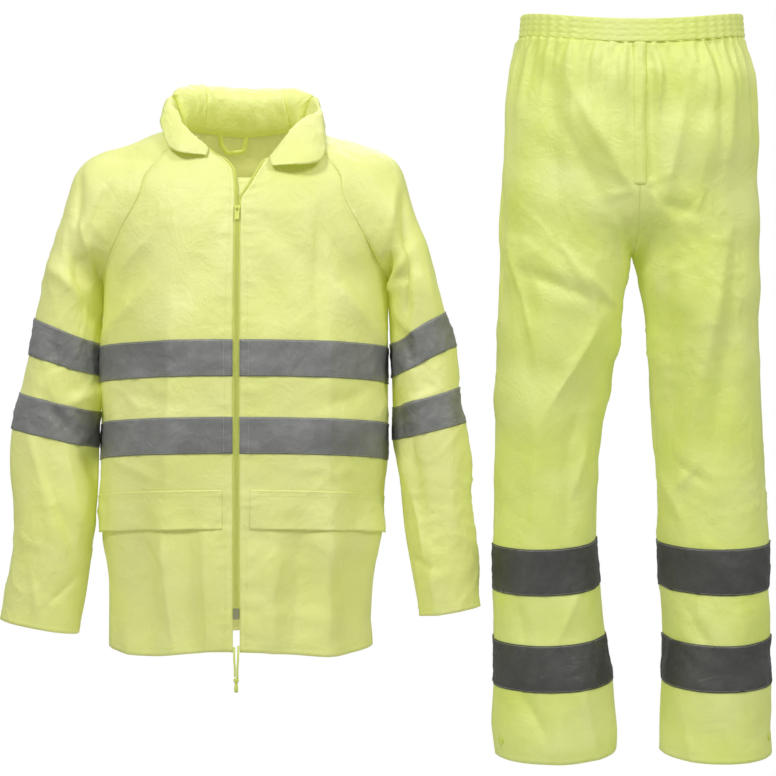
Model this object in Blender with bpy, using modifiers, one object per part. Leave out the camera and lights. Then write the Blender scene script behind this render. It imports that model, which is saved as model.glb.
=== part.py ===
"""High-visibility rain suit: a zipped jacket with its hood stowed in the collar, and trousers.

Metres, +Z up, the front faces -Y.  Left and right are as seen from the front: left is -X.
The origin is where a wearer's shoulders carry the jacket, at the middle of the neck.  The
trousers stand to the right of the jacket, as a set laid out for show, filled out by their cut.

Every cloth piece is a grid of points on its own form, made a wall by Solidify.  What is sewn
on a panel is made from that panel's points, moved out along its normals.
"""
import math

import bmesh
import bpy
import numpy as np
from mathutils import Matrix, Vector

# Driving dimensions of the cloth
CLOTH = 0.0014
TAPE = 0.0010
SEAM_GAP = 0.0003
LAY_GAP = 0.0003
SEAM_TRIM = 0.00036
RAGLAN_TRIM = 0.0006
REFLECTIVE_JACKET = 0.050
REFLECTIVE_TROUSERS = 0.065

# Driving dimensions of the jacket: heights are those of the centre front
ARMPIT = -0.199
HEM = -0.697
POCKET_SEAM = -0.476
FLAP_EDGE = -0.530
FLAP_LIFT = 0.0028
UPPER_TAPE_TOP = -0.272
LOWER_TAPE_TOP = -0.377
ZIP_GAP = 0.0092
FLAP_START = 0.045
SLIDER_HEIGHT = -0.094
ZIP_FOOT = -0.652

# Driving dimensions of the trousers
TROUSERS_X = 0.5517
CROTCH = -0.151
TROUSER_HEM = -0.850
WAIST_SEAM = 0.158
WAIST_TOP = 0.190
WAIST_GATHERS = 52
GATHER_DEPTH = 0.0017
HIP_FOLD_DEPTH = 0.0022
HIP_FOLD_START = 0.030
HIP_FOLD_REACH = 0.125
BAND_MEAN_RADIUS = 0.130
LEG_UPPER_TAPE_TOP = -0.552
LEG_LOWER_TAPE_TOP = -0.686
CROTCH_CURVE = 0.090
CROTCH_BLEND = 0.150
HIP_BLEND = 0.130
HEM_TILT = 0.004
HEM_DIP_FRONT = 0.010
HEM_DIP_BACK = 0.002
WAIST_DIP_FRONT = 0.020
WAIST_DIP_BACK = 0.004
WAIST_DIP_START = 0.040
WAIST_DIP_REACH = 0.110
FLY_HALF = 0.010
FLY_FOOT = -0.060

# The body of the jacket: half widths to the left and right, depths to the front and back
BODY_COLUMNS = ("height", "left", "right", "front", "back", "side_drop", "dip")
BODY_ROWS = (
    (-0.700, 0.1905, 0.1800, 0.146, 0.146, 0.003, 0.009),
    (-0.620, 0.1900, 0.1840, 0.149, 0.149, 0.008, 0.003),
    (-0.540, 0.1965, 0.1960, 0.152, 0.151, 0.012, 0.000),
    (-0.480, 0.2020, 0.2010, 0.153, 0.151, 0.015, 0.000),
    (-0.400, 0.2010, 0.2060, 0.154, 0.150, 0.013, 0.000),
    (-0.280, 0.2000, 0.2060, 0.152, 0.148, 0.0095, 0.000),
    (-0.199, 0.1980, 0.2040, 0.144, 0.145, 0.006, 0.000),
    (-0.120, 0.2070, 0.2120, 0.132, 0.139, 0.000, 0.000),
    (-0.057, 0.2050, 0.2120, 0.113, 0.126, 0.000, 0.000),
    (-0.014, 0.1700, 0.1780, 0.088, 0.110, 0.000, 0.000),
    (0.012, 0.1150, 0.1180, 0.068, 0.094, 0.000, 0.000),
    (0.034, 0.0950, 0.0950, 0.060, 0.076, 0.000, 0.000),
)

# The raglan seams: the angle round the body, from the centre, at which each seam lies
RAGLAN_COLUMNS = ("height", "front_left", "front_right", "back_left", "back_right")
RAGLAN_ROWS = (
    (-0.212, 90.0, 90.0, 90.0, 90.0),
    (-0.199, 90.0, 90.0, 90.0, 90.0),
    (-0.160, 66.0, 66.0, 66.0, 66.0),
    (-0.120, 53.0, 53.0, 52.0, 52.0),
    (-0.057, 41.0, 42.0, 39.0, 39.0),
    (-0.014, 40.5, 42.0, 36.0, 35.0),
    (0.012, 45.0, 46.0, 39.0, 38.0),
    (0.034, 50.0, 50.0, 42.0, 42.0),
)

# Where the panels end at the neck, from the centre to the raglan seam
NECK_TOP = {
    "front_left": (-0.003, 0.014),
    "front_right": (-0.020, 0.008),
    "back_left": (0.029, 0.031),
    "back_right": (0.029, 0.031),
}

# The centre front edges, which open out above the slider
EDGE_COLUMNS = ("height", "left", "right")
EDGE_ROWS = (
    (-0.720, 0.0046, 0.0046),
    (-0.100, 0.0046, 0.0046),
    (-0.080, 0.0046, 0.0052),
    (-0.060, 0.0052, 0.0165),
    (-0.040, 0.0080, 0.0270),
    (-0.022, 0.0200, 0.0370),
    (-0.012, 0.0370, 0.0420),
    (-0.003, 0.0470, 0.0450),
)

# The sleeves from cuff to armpit: outer and inner edges, half depth, how far forward they hang
ARM_COLUMNS = ("outer_x", "outer_z", "inner_x", "inner_z", "depth", "forward")
ARM_LEFT = (
    (0.3390, -0.6640, 0.2315, -0.6840, 0.050, 0.016),
    (0.3310, -0.5980, 0.2190, -0.6180, 0.054, 0.015),
    (0.3240, -0.5300, 0.2110, -0.5480, 0.057, 0.013),
    (0.3245, -0.4600, 0.2045, -0.4820, 0.060, 0.010),
    (0.3240, -0.3950, 0.2032, -0.4225, 0.061, 0.007),
    (0.3167, -0.3436, 0.2032, -0.3716, 0.062, 0.005),
    (0.3050, -0.2897, 0.2036, -0.3220, 0.064, 0.003),
    (0.2942, -0.2386, 0.2034, -0.2760, 0.067, 0.001),
    (0.2780, -0.1640, 0.1992, -0.2050, 0.072, 0.000),
)
ARM_RIGHT = (
    (0.3394, -0.6440, 0.2513, -0.6586, 0.048, 0.016),
    (0.3330, -0.5850, 0.2400, -0.5980, 0.051, 0.015),
    (0.3270, -0.5210, 0.2290, -0.5330, 0.054, 0.013),
    (0.3210, -0.4550, 0.2230, -0.4700, 0.057, 0.010),
    (0.3150, -0.3868, 0.2160, -0.4118, 0.059, 0.007),
    (0.3094, -0.3360, 0.2125, -0.3650, 0.061, 0.005),
    (0.3000, -0.2797, 0.2115, -0.3240, 0.064, 0.003),
    (0.2880, -0.2293, 0.2095, -0.2760, 0.067, 0.001),
    (0.2700, -0.1740, 0.2052, -0.2050, 0.072, 0.000),
)
ARM_STATIONS = (0.0, 0.14, 0.28, 0.42, 0.555, 0.66, 0.77, 0.872, 1.0)

# The sleeves from armpit to neck: the shoulder's outline and how far round the arm they reach
SHOULDER_COLUMNS = ("along", "outer_x", "outer_z", "reach", "forward", "depth")
SHOULDER_LEFT = (
    (0.00, 0.2780, -0.1640, 180.0, 0.000, 0.0720),
    (0.10, 0.2710, -0.1350, 154.0, 0.000, 0.0735),
    (0.20, 0.2620, -0.1050, 130.0, 0.000, 0.0760),
    (0.35, 0.2500, -0.0650, 108.0, 0.000, 0.0800),
    (0.50, 0.2330, -0.0290, 93.0, -0.002, 0.0840),
    (0.65, 0.2020, -0.0050, 80.0, -0.004, 0.0850),
    (0.80, 0.1600, 0.0105, 68.0, -0.006, 0.0820),
    (0.92, 0.1150, 0.0260, 58.0, -0.008, 0.0760),
    (1.00, 0.0880, 0.0320, 50.0, -0.008, 0.0700),
)
SHOULDER_RIGHT = (
    (0.00, 0.2700, -0.1740, 180.0, 0.000, 0.0720),
    (0.10, 0.2610, -0.1440, 154.0, 0.000, 0.0735),
    (0.20, 0.2530, -0.1110, 130.0, 0.000, 0.0760),
    (0.35, 0.2430, -0.0720, 108.0, 0.000, 0.0800),
    (0.50, 0.2290, -0.0370, 93.0, -0.002, 0.0840),
    (0.65, 0.2010, -0.0080, 80.0, -0.004, 0.0850),
    (0.80, 0.1640, 0.0070, 68.0, -0.006, 0.0820),
    (0.92, 0.1210, 0.0170, 58.0, -0.008, 0.0760),
    (1.00, 0.0880, 0.0280, 50.0, -0.008, 0.0700),
)

# The collar from its left front end round the back: seam, fold and free edge
COLLAR_COLUMNS = ("seam_x", "seam_y", "seam_z", "fold_x", "fold_y", "fold_z", "edge_x", "edge_y", "edge_z")
COLLAR_ROWS = (
    (-0.0500, -0.0700, 0.0020, -0.0470, -0.0790, 0.0060, -0.0500, -0.0880, -0.0040),
    (-0.0700, -0.0600, 0.0110, -0.0690, -0.0700, 0.0210, -0.0700, -0.0880, -0.0040),
    (-0.0830, -0.0420, 0.0200, -0.0860, -0.0500, 0.0400, -0.0930, -0.0740, 0.0020),
    (-0.0860, -0.0050, 0.0345, -0.1010, -0.0120, 0.0660, -0.1150, -0.0280, 0.0400),
    (-0.0800, 0.0320, 0.0365, -0.1020, 0.0300, 0.0840, -0.1170, 0.0300, 0.0480),
    (-0.0600, 0.0620, 0.0365, -0.0800, 0.0720, 0.0900, -0.0900, 0.0860, 0.0400),
    (0.0000, 0.0800, 0.0350, 0.0000, 0.0930, 0.0870, 0.0000, 0.1090, 0.0350),
    (0.0600, 0.0620, 0.0365, 0.0770, 0.0720, 0.0840, 0.0880, 0.0860, 0.0360),
    (0.0800, 0.0320, 0.0350, 0.1000, 0.0280, 0.0770, 0.1130, 0.0280, 0.0400),
    (0.0880, -0.0050, 0.0330, 0.1080, -0.0150, 0.0550, 0.1200, -0.0350, 0.0220),
    (0.0860, -0.0420, 0.0160, 0.0880, -0.0540, 0.0350, 0.1120, -0.0850, -0.0100),
    (0.0700, -0.0640, 0.0030, 0.0680, -0.0760, 0.0160, 0.0800, -0.1020, -0.0200),
    (0.0480, -0.0770, -0.0130, 0.0450, -0.0880, -0.0070, 0.0480, -0.1000, -0.0200),
)
COLLAR_SECTIONS = 25
COLLAR_FOLD_STEPS = 8
COLLAR_SEAT = 0.0008
COLLAR_SEAT_REACH = 0.4
ROLL_COLUMNS = (7, 16)
ROLL_BULGE = 0.034
ROLL_EDGE = 0.004
ROLL_ROUNDNESS = 0.6
ROLL_END_ROUNDNESS = 0.4
ROLL_END = 0.04

# The trousers' legs: outer and inner edges from the centre line, depths to the front and back
LEG_COLUMNS = ("height", "outer", "inner", "front", "back")
LEG_LEFT = (
    (-0.856, 0.1920, 0.0225, 0.082, 0.082),
    (-0.745, 0.1950, 0.0305, 0.080, 0.081),
    (-0.680, 0.1950, 0.0400, 0.078, 0.080),
    (-0.610, 0.1950, 0.0450, 0.076, 0.080),
    (-0.545, 0.1950, 0.0500, 0.076, 0.081),
    (-0.480, 0.1945, 0.0485, 0.077, 0.084),
    (-0.400, 0.1937, 0.0440, 0.079, 0.089),
    (-0.320, 0.1925, 0.0270, 0.085, 0.096),
    (-0.256, 0.1910, 0.0155, 0.093, 0.104),
    (-0.190, 0.1880, 0.0100, 0.103, 0.115),
    (-0.151, 0.1865, 0.0004, 0.110, 0.122),
)
LEG_RIGHT = (
    (-0.856, 0.1950, 0.0390, 0.080, 0.082),
    (-0.745, 0.1960, 0.0447, 0.078, 0.080),
    (-0.674, 0.1950, 0.0460, 0.077, 0.079),
    (-0.610, 0.1930, 0.0420, 0.076, 0.079),
    (-0.545, 0.1912, 0.0390, 0.076, 0.080),
    (-0.480, 0.1896, 0.0385, 0.077, 0.083),
    (-0.400, 0.1862, 0.0340, 0.079, 0.089),
    (-0.320, 0.1828, 0.0250, 0.085, 0.096),
    (-0.232, 0.1800, 0.0180, 0.097, 0.108),
    (-0.190, 0.1796, 0.0110, 0.103, 0.115),
    (-0.151, 0.1796, 0.0004, 0.110, 0.122),
)
HIP_COLUMNS = ("height", "left", "right", "front", "back")
HIP_ROWS = (
    (-0.160, 0.1870, 0.1796, 0.112, 0.126),
    (-0.071, 0.1816, 0.1776, 0.118, 0.130),
    (0.000, 0.1800, 0.1776, 0.120, 0.128),
    (0.052, 0.1800, 0.1776, 0.119, 0.124),
    (0.099, 0.1750, 0.1750, 0.117, 0.119),
    (0.128, 0.1700, 0.1690, 0.114, 0.115),
    (0.158, 0.1600, 0.1600, 0.110, 0.110),
    (0.192, 0.1570, 0.1570, 0.107, 0.107),
)

# The largest folds, in the front view: ends, half width and height, troughs below zero
FOLD_COLUMNS = ("x0", "z0", "x1", "z1", "width", "height")
BODY_FOLDS = (
    (-0.112, -0.640, -0.106, -0.560, 0.016, -0.0050),
    (0.118, -0.650, 0.112, -0.560, 0.016, -0.0050),
    (0.110, -0.215, 0.080, -0.120, 0.020, 0.0040),
    (-0.120, -0.235, -0.085, -0.120, 0.020, 0.0040),
    (-0.060, -0.690, -0.066, -0.600, 0.015, 0.0035),
    (0.066, -0.690, 0.060, -0.600, 0.015, 0.0035),
)
SLEEVE_FOLDS_LEFT = (
    (-0.290, -0.420, -0.225, -0.540, 0.014, -0.0060),
    (-0.310, -0.470, -0.240, -0.600, 0.014, 0.0050),
    (-0.240, -0.130, -0.250, -0.240, 0.013, -0.0060),
    (-0.300, -0.600, -0.250, -0.640, 0.012, -0.0040),
)
SLEEVE_FOLDS_RIGHT = (
    (0.245, -0.420, 0.270, -0.560, 0.013, -0.0060),
    (0.280, -0.440, 0.300, -0.580, 0.014, 0.0050),
    (0.236, -0.110, 0.246, -0.240, 0.013, -0.0065),
    (0.300, -0.600, 0.270, -0.630, 0.012, -0.0040),
)
LEG_FOLDS = (
    (0.400, -0.215, 0.470, -0.330, 0.020, -0.0060),
    (0.425, -0.190, 0.505, -0.300, 0.020, 0.0060),
    (0.395, -0.360, 0.440, -0.480, 0.018, 0.0050),
    (0.640, -0.180, 0.650, -0.420, 0.020, -0.0050),
    (0.680, -0.140, 0.690, -0.440, 0.018, 0.0045),
    (0.455, -0.760, 0.450, -0.640, 0.017, -0.0040),
    (0.640, -0.790, 0.645, -0.660, 0.017, 0.0040),
)
FOLD_TAPER = 0.12

# Grid steps round and along each piece; both sides of a raglan seam share its places
RAGLAN_PLACES = (0.0, 0.1, 0.2, 0.35, 0.5, 0.65, 0.8, 0.92, 1.0)
BODY_STEPS_ROUND = 9
SLEEVE_STEPS_ROUND = 16
LEG_STEPS_ROUND = 12
BAND_STEPS_A_GATHER = 2

# The zip's tapes and half chains, and the patch over their lower end
ZIP_TAPE_WIDTH = 0.0102
CHAIN_CLEAR = 0.0012
CHAIN_SINK = 0.0002
PATCH_HALF_WIDTH = 0.0040
PATCH_LENGTH = 0.0150
PATCH_CLEAR = 0.0002
STUD_WIDE = 0.0050
STUD_NARROW = 0.0040
STUD_DEPTH = 0.0016
STUD_STANDOFF = 0.0012

# The slider and its pull tab
SLIDER_WIDTH = 0.0080
SLIDER_LENGTH = 0.0110
SLIDER_PLATE = 0.0016
BRIDGE_WIDTH = 0.0011
BRIDGE_REACH = 0.0028
BRIDGE_HEIGHT = 0.0024
PULL_RISE = 0.0014
PULL_BAR = 0.00045
PULL_STANDOFF = 0.0010
PULL_LENGTH = 0.0170
PULL_WIDTH = 0.0056
PULL_RAIL = 0.0012
PULL_WINDOW = 0.0050

# The hem drawcord
CORD_DIAMETER = 0.0030
CORD_LEFT_ROUTE = (
    (-0.0028, -0.1458, -0.6900),
    (-0.0028, -0.1480, -0.6960),
    (-0.0027, -0.1496, -0.7025),
    (-0.0024, -0.1502, -0.7090),
    (-0.0019, -0.1500, -0.7160),
    (-0.0017, -0.1495, -0.7230),
    (-0.0017, -0.1490, -0.7300),
)
CORD_RIGHT_ROUTE = (
    (0.0028, -0.1458, -0.6880),
    (0.0028, -0.1480, -0.6945),
    (0.0027, -0.1497, -0.7015),
    (0.0025, -0.1504, -0.7085),
    (0.0020, -0.1501, -0.7155),
    (0.0017, -0.1495, -0.7230),
    (0.0017, -0.1490, -0.7300),
)
LOOP_WIDTH = 0.0055
LOOP_GAP = 0.0008
LOOP_OUTLINE = (
    (-0.0350, 0.0255), (-0.0335, 0.0150), (-0.0285, 0.0070), (-0.0200, 0.0030),
    (-0.0100, 0.0030), (-0.0030, 0.0065), (0.0008, 0.0150), (0.0020, 0.0255),
)
GUARD_FOOT = -0.650
GUARD_TOP = -0.046
GUARD_LAP = 0.008
GUARD_DEPTH = 0.0042
KNOT_RADIUS = 0.0042
TASSEL_LENGTH = 0.0130

YELLOW = (0.72, 0.80, 0.16, 1.0)
TROUSER_YELLOW = (0.62, 0.72, 0.15, 1.0)
ZIP_YELLOW = (0.58, 0.64, 0.10, 1.0)
TAPE_GREY = (0.17, 0.175, 0.165, 1.0)
OLIVE = (0.30, 0.30, 0.16, 1.0)


def clear_scene():
    """Remove what the scene holds."""
    for item in list(bpy.data.objects):
        bpy.data.objects.remove(item, do_unlink=True)


def column(table, names, name):
    """One named column of a table, as an array."""
    return np.array([row[names.index(name)] for row in table], dtype=float)


def smooth(at, places, values):
    """A cubic through the given values that never swings past them."""
    at = np.clip(np.asarray(at, dtype=float), places[0], places[-1])
    step = np.diff(places)
    rise = np.diff(values) / step
    slope = np.zeros_like(values)
    same = rise[:-1] * rise[1:] > 0
    near = np.where(same, rise[:-1], 1.0)
    far = np.where(same, rise[1:], 1.0)
    slope[1:-1] = np.where(same, 2.0 * near * far / (near + far), 0.0)
    slope[0] = rise[0]
    slope[-1] = rise[-1]
    low = np.clip(np.searchsorted(places, at, side="right") - 1, 0, len(step) - 1)
    t = (at - places[low]) / step[low]
    h = step[low]
    first = (1 + 2 * t) * (1 - t) ** 2 * values[low] + t * (1 - t) ** 2 * h * slope[low]
    second = t * t * (3 - 2 * t) * values[low + 1] + t * t * (t - 1) * h * slope[low + 1]
    return first + second


def look_up(table, names, name, at, key="height"):
    """The value of a named column at the given place along the table."""
    return smooth(at, column(table, names, key), column(table, names, name))


def ease(value):
    """Nought to one with flat ends."""
    value = np.clip(value, 0.0, 1.0)
    return value * value * (3 - 2 * value)


def fold_height(points, folds, side):
    """The sum of soft ridges and troughs, each a bell across its line, fading at its ends."""
    total = np.zeros(points.shape[:-1])
    for x0, z0, x1, z1, width, height in folds:
        line = np.array((x1 - x0, z1 - z0))
        length = np.linalg.norm(line)
        unit = line / length
        dx = points[..., 0] - x0
        dz = points[..., 2] - z0
        along = (dx * unit[0] + dz * unit[1]) / length
        across = dx * unit[1] - dz * unit[0]
        past = np.maximum(np.maximum(-along, along - 1.0), 0.0) * length
        total += height * np.exp(-(across / width) ** 2 - (past / (2.5 * width)) ** 2)
    facing = ease(-side * points[..., 1] / 0.03)
    return total * facing


def grid_normals(points, ring=False):
    """Unit normals from the differences along rows and columns."""
    if ring:
        across = np.roll(points, -1, axis=1) - np.roll(points, 1, axis=1)
    else:
        across = np.gradient(points, axis=1)
    along = np.gradient(points, axis=0)
    normals = np.cross(across, along)
    return normals / np.maximum(np.linalg.norm(normals, axis=-1, keepdims=True), 1e-12)


def edge_fade(rows, columns):
    """A weight that is one in the middle of a grid and nought at its side edges."""
    across = np.linspace(0.0, 1.0, columns)
    fade = ease(across / FOLD_TAPER) * ease((1.0 - across) / FOLD_TAPER)
    return np.ones((rows, 1)) * fade[None, :]


def trimmed(points, start=0.0, end=0.0, first_row=0.0, last_row=0.0):
    """The grid with its edges drawn back from their seams by the given distances."""
    result = points.copy()

    def draw(edge, neighbour, distance):
        gap = neighbour - edge
        size = np.maximum(np.linalg.norm(gap, axis=-1, keepdims=True), 1e-9)
        return edge + gap / size * distance

    if start:
        result[:, 0] = draw(result[:, 0], result[:, 1], start)
    if end:
        result[:, -1] = draw(result[:, -1], result[:, -2], end)
    if first_row:
        result[0] = draw(result[0], result[1], first_row)
    if last_row:
        result[-1] = draw(result[-1], result[-2], last_row)
    return result


def body_point(panel, across, level):
    """A point of the jacket's front or back: an ellipse at each height, from centre to seam."""
    half = 1 if panel.startswith("front") else -1
    name = panel.split("_")[1]
    sign = -1.0 if name == "left" else 1.0
    depth_name = "front" if half == 1 else "back"
    across = np.asarray(across, dtype=float)
    level = np.asarray(level, dtype=float)
    drop = look_up(BODY_ROWS, BODY_COLUMNS, "side_drop", level)
    dip = look_up(BODY_ROWS, BODY_COLUMNS, "dip", level)
    turn = across * math.pi / 2
    low = np.minimum(level, ARMPIT)
    height = low - drop * (1 - np.cos(turn)) - dip * np.sin(2 * turn) ** 2
    centre_top, seam_top = NECK_TOP[panel]
    up = np.clip((level - ARMPIT) / -ARMPIT, 0.0, 1.0)
    drop_there = look_up(BODY_ROWS, BODY_COLUMNS, "side_drop", ARMPIT)
    start = ARMPIT - drop_there * (1 - np.cos(turn))
    stop = centre_top + (seam_top - centre_top) * np.sin(turn)
    height = np.where(level > ARMPIT, start + (stop - start) * up, height)
    width = look_up(BODY_ROWS, BODY_COLUMNS, name, height)
    depth = look_up(BODY_ROWS, BODY_COLUMNS, depth_name, height)
    if half == 1:
        edge = smooth(height, column(EDGE_ROWS, EDGE_COLUMNS, "height"), column(EDGE_ROWS, EDGE_COLUMNS, name))
        first = np.arcsin(edge / width)
    else:
        first = np.zeros_like(width)
    last = np.radians(np.minimum(look_up(RAGLAN_ROWS, RAGLAN_COLUMNS, panel, height), 90.0))
    angle = first + across * (last - first)
    x = sign * width * np.sin(angle)
    y = -half * depth * np.cos(angle)
    return np.stack([x, y, height], axis=-1)


def body_levels():
    """The rows of the jacket's panels, which hold every edge that lies on them."""
    named = (
        (HEM, 1), (ZIP_FOOT, 1), (-0.620, 2), (FLAP_EDGE, 1), (POCKET_SEAM, 1),
        (LOWER_TAPE_TOP - REFLECTIVE_JACKET, 1), (LOWER_TAPE_TOP, 1),
        (UPPER_TAPE_TOP - REFLECTIVE_JACKET, 1), (UPPER_TAPE_TOP, 2), (ARMPIT, 0),
    )
    levels = []
    for (start, steps), (stop, _) in zip(named[:-1], named[1:]):
        levels.extend(start + (stop - start) * i / steps for i in range(steps))
    levels.extend(ARMPIT * (1.0 - along) for along in RAGLAN_PLACES)
    return np.array(levels)


def level_index(level):
    """The row of the jacket's panels at a named height."""
    return int(np.argmin(np.abs(body_levels() - level)))


def body_grid(panel):
    """A jacket panel's points, rows from hem to neck, columns from the centre to the seam."""
    steps = np.linspace(0.0, 1.0, BODY_STEPS_ROUND + 1)
    across = np.concatenate([[0.0, FLAP_START], steps[1:]]) if panel.startswith("front") else steps
    levels = body_levels()
    points = body_point(panel, across[None, :] + 0 * levels[:, None], levels[:, None] + 0 * across[None, :])
    return points


def with_folds(points, folds, side, flip):
    """The points moved along their normals by the folds that cross them."""
    normals = grid_normals(points) * (-1.0 if flip else 1.0)
    height = fold_height(points, folds, side) * edge_fade(*points.shape[:2])
    return points + normals * height[..., None]


def raglan_point(panel, along):
    """A point of a raglan seam, from the armpit to the neck."""
    level = ARMPIT - ARMPIT * np.asarray(along, dtype=float)
    return body_point(panel, np.ones_like(level), level)


def sleeve_point(name, place, turn):
    """A point of a raglan sleeve.

    place runs from the cuff, 0, to the armpit, 1, and on to the neck, 2.  turn runs from the
    front edge, 1, over the outside, 0, to the back edge, -1.  Below the armpit each section is
    an ellipse that closes under the arm, and above it an arc that ends on both raglan seams.
    """
    sign = -1.0 if name == "left" else 1.0
    arm = ARM_LEFT if name == "left" else ARM_RIGHT
    shoulder = SHOULDER_LEFT if name == "left" else SHOULDER_RIGHT
    stations = np.array(ARM_STATIONS)
    low = np.clip(place, 0.0, 1.0)
    up = np.clip(place - 1.0, 0.0, 1.0)
    above = place > 1.0

    def arm_value(key):
        return smooth(low, stations, column(arm, ARM_COLUMNS, key))

    def shoulder_value(key):
        return look_up(shoulder, SHOULDER_COLUMNS, key, up, key="along")

    outer = np.stack([
        sign * np.where(above, shoulder_value("outer_x"), arm_value("outer_x")),
        -np.where(above, shoulder_value("forward"), arm_value("forward")),
        np.where(above, shoulder_value("outer_z"), arm_value("outer_z")),
    ], axis=-1)
    inner = np.stack([sign * arm_value("inner_x"), outer[..., 1], arm_value("inner_z")], axis=-1)
    seam = np.where(
        (turn > 0)[..., None],
        raglan_point("front_" + name, up),
        raglan_point("back_" + name, up),
    )
    reach = np.radians(np.where(above, shoulder_value("reach"), 180.0))
    angle = np.abs(turn) * reach
    inner = np.where(above[..., None], seam, inner)
    depth = np.where(above, shoulder_value("depth"), arm_value("depth"))
    short = np.where(above, np.abs(seam[..., 1] - outer[..., 1]) - depth * np.sin(reach), 0.0)
    part = (1 - np.cos(angle)) / (1 - np.cos(reach))
    x = outer[..., 0] + (inner[..., 0] - outer[..., 0]) * part
    z = outer[..., 2] + (inner[..., 2] - outer[..., 2]) * part
    y = outer[..., 1] - np.sign(turn) * (depth * np.sin(angle) + short * turn ** 2)
    return np.stack([x, y, z], axis=-1)


def sleeve_rows():
    """The rows of a sleeve, which hold the edges of its tapes."""
    arm = list(ARM_STATIONS[:-1])
    extra = [0.07, 0.21, 0.35, 0.49]
    shoulder = [1.0 + along for along in RAGLAN_PLACES]
    return np.array(sorted(arm + extra + shoulder))


def sleeve_grid(name):
    """A sleeve's points, rows from cuff to neck, columns from the front edge to the back edge."""
    rows = sleeve_rows()
    turn = np.linspace(1.0, -1.0, SLEEVE_STEPS_ROUND + 1)
    place = rows[:, None] + 0 * turn[None, :]
    return sleeve_point(name, place, turn[None, :] + 0 * place)


def leg_point(name, half, across, level):
    """A point of a trouser panel, from the side seam, 0, to the inside seam, 1.

    Below the crotch a section is half an ellipse round the leg.  Above it, it turns into a
    quarter of the hip's ellipse, along a crotch curve that is a quarter of a circle.
    """
    sign = -1.0 if name == "left" else 1.0
    table = LEG_LEFT if name == "left" else LEG_RIGHT
    depth_name = "front" if half == 1 else "back"
    tilt = HEM_TILT if name == "left" else 0.0
    blend_in = ease((CROTCH - level) / CROTCH_BLEND)
    dip = (HEM_DIP_FRONT if half == 1 else HEM_DIP_BACK) * blend_in
    waist = ease((level - WAIST_DIP_START) / WAIST_DIP_REACH)
    low = np.minimum(level, CROTCH)
    leg_turn = across * math.pi
    hip_turn = across * math.pi / 2
    height = level - dip * np.sin(leg_turn) + tilt * blend_in * (across - 0.5) * 2
    waist_dip = (WAIST_DIP_FRONT if half == 1 else WAIST_DIP_BACK) * waist
    height = height - waist_dip * np.sin(hip_turn) ** 2
    outer = look_up(table, LEG_COLUMNS, "outer", low)
    inner = look_up(table, LEG_COLUMNS, "inner", low)
    leg_depth = look_up(table, LEG_COLUMNS, depth_name, low)
    centre = (outer + inner) / 2
    reach = (outer - inner) / 2
    leg_x = centre + reach * np.cos(leg_turn)
    leg_y = leg_depth * np.sin(leg_turn)
    hip = np.maximum(level, CROTCH)
    hip_x = look_up(HIP_ROWS, HIP_COLUMNS, name, hip) * np.cos(hip_turn) + 0.0004 * across
    hip_y = look_up(HIP_ROWS, HIP_COLUMNS, depth_name, hip) * np.sin(hip_turn)
    up = np.clip((level - CROTCH) / CROTCH_CURVE, 0.0, 1.0)
    round_share = np.sqrt(1 - (1 - up) ** 2)
    soft_share = ease((level - CROTCH + HIP_BLEND) / (2.0 * HIP_BLEND))
    inward = ease(across)
    share = soft_share * (1 - inward) + round_share * inward
    x = leg_x * (1 - share) + hip_x * share
    y = leg_y * (1 - share) + hip_y * share
    return np.stack([TROUSERS_X + sign * x, -half * y, height], axis=-1)


def gather_wave(points, level):
    """How far the folds below the gathers stand out: every other column, fading down the hip."""
    wave = np.where(np.arange(points.shape[1]) % 2 == 0, 1.0, -1.0)
    return HIP_FOLD_DEPTH * wave[None, :] * ease((level - HIP_FOLD_START) / HIP_FOLD_REACH)


def leg_levels():
    """The rows of the trouser panels, which hold every edge that lies on them."""
    named = (
        (TROUSER_HEM, 2), (LEG_LOWER_TAPE_TOP - REFLECTIVE_TROUSERS, 1), (LEG_LOWER_TAPE_TOP, 1),
        (LEG_UPPER_TAPE_TOP - REFLECTIVE_TROUSERS, 1), (LEG_UPPER_TAPE_TOP, 4), (-0.360, 3),
        (-0.190, 1), (CROTCH, 1), (-0.143, 1), (-0.123, 1), (-0.096, 1), (FLY_FOOT, 2), (0.040, 3),
        (WAIST_SEAM, 0),
    )
    levels = []
    for (start, steps), (stop, _) in zip(named[:-1], named[1:]):
        levels.extend(start + (stop - start) * i / steps for i in range(steps))
    levels.append(named[-1][0])
    return np.array(levels)


def leg_index(level):
    """The row of the trouser panels at a named height."""
    return int(np.argmin(np.abs(leg_levels() - level)))


def leg_grid(name, half):
    """A trouser panel's points, rows from hem to waist, columns from side to inside seam."""
    across = np.linspace(0.0, 1.0, LEG_STEPS_ROUND + 1)
    levels = leg_levels()
    row = levels[:, None] + 0 * across[None, :]
    points = leg_point(name, half, across[None, :] + 0 * row, row)
    outward = grid_normals(points) * (1.0 if (name == "left") == (half == 1) else -1.0)
    outward[..., 2] = 0.0
    outward /= np.maximum(np.linalg.norm(outward, axis=-1, keepdims=True), 1e-9)
    wave = gather_wave(points, row) * edge_fade(*points.shape[:2])
    return points + outward * wave[..., None]


def collar_point(along, over):
    """A point of the collar: a parabola through the seam, the fold and the free edge."""
    stations = np.linspace(0.0, 1.0, len(COLLAR_ROWS))

    def place(part):
        return np.stack([
            smooth(along, stations, column(COLLAR_ROWS, COLLAR_COLUMNS, part + axis))
            for axis in ("_x", "_y", "_z")
        ], axis=-1)

    seam, fold, edge = place("seam"), place("fold"), place("edge")
    knee = 2 * fold - (seam + edge) / 2
    over = np.asarray(over)[..., None]
    return seam * (1 - over) ** 2 + 2 * over * (1 - over) * knee + edge * over ** 2


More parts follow.
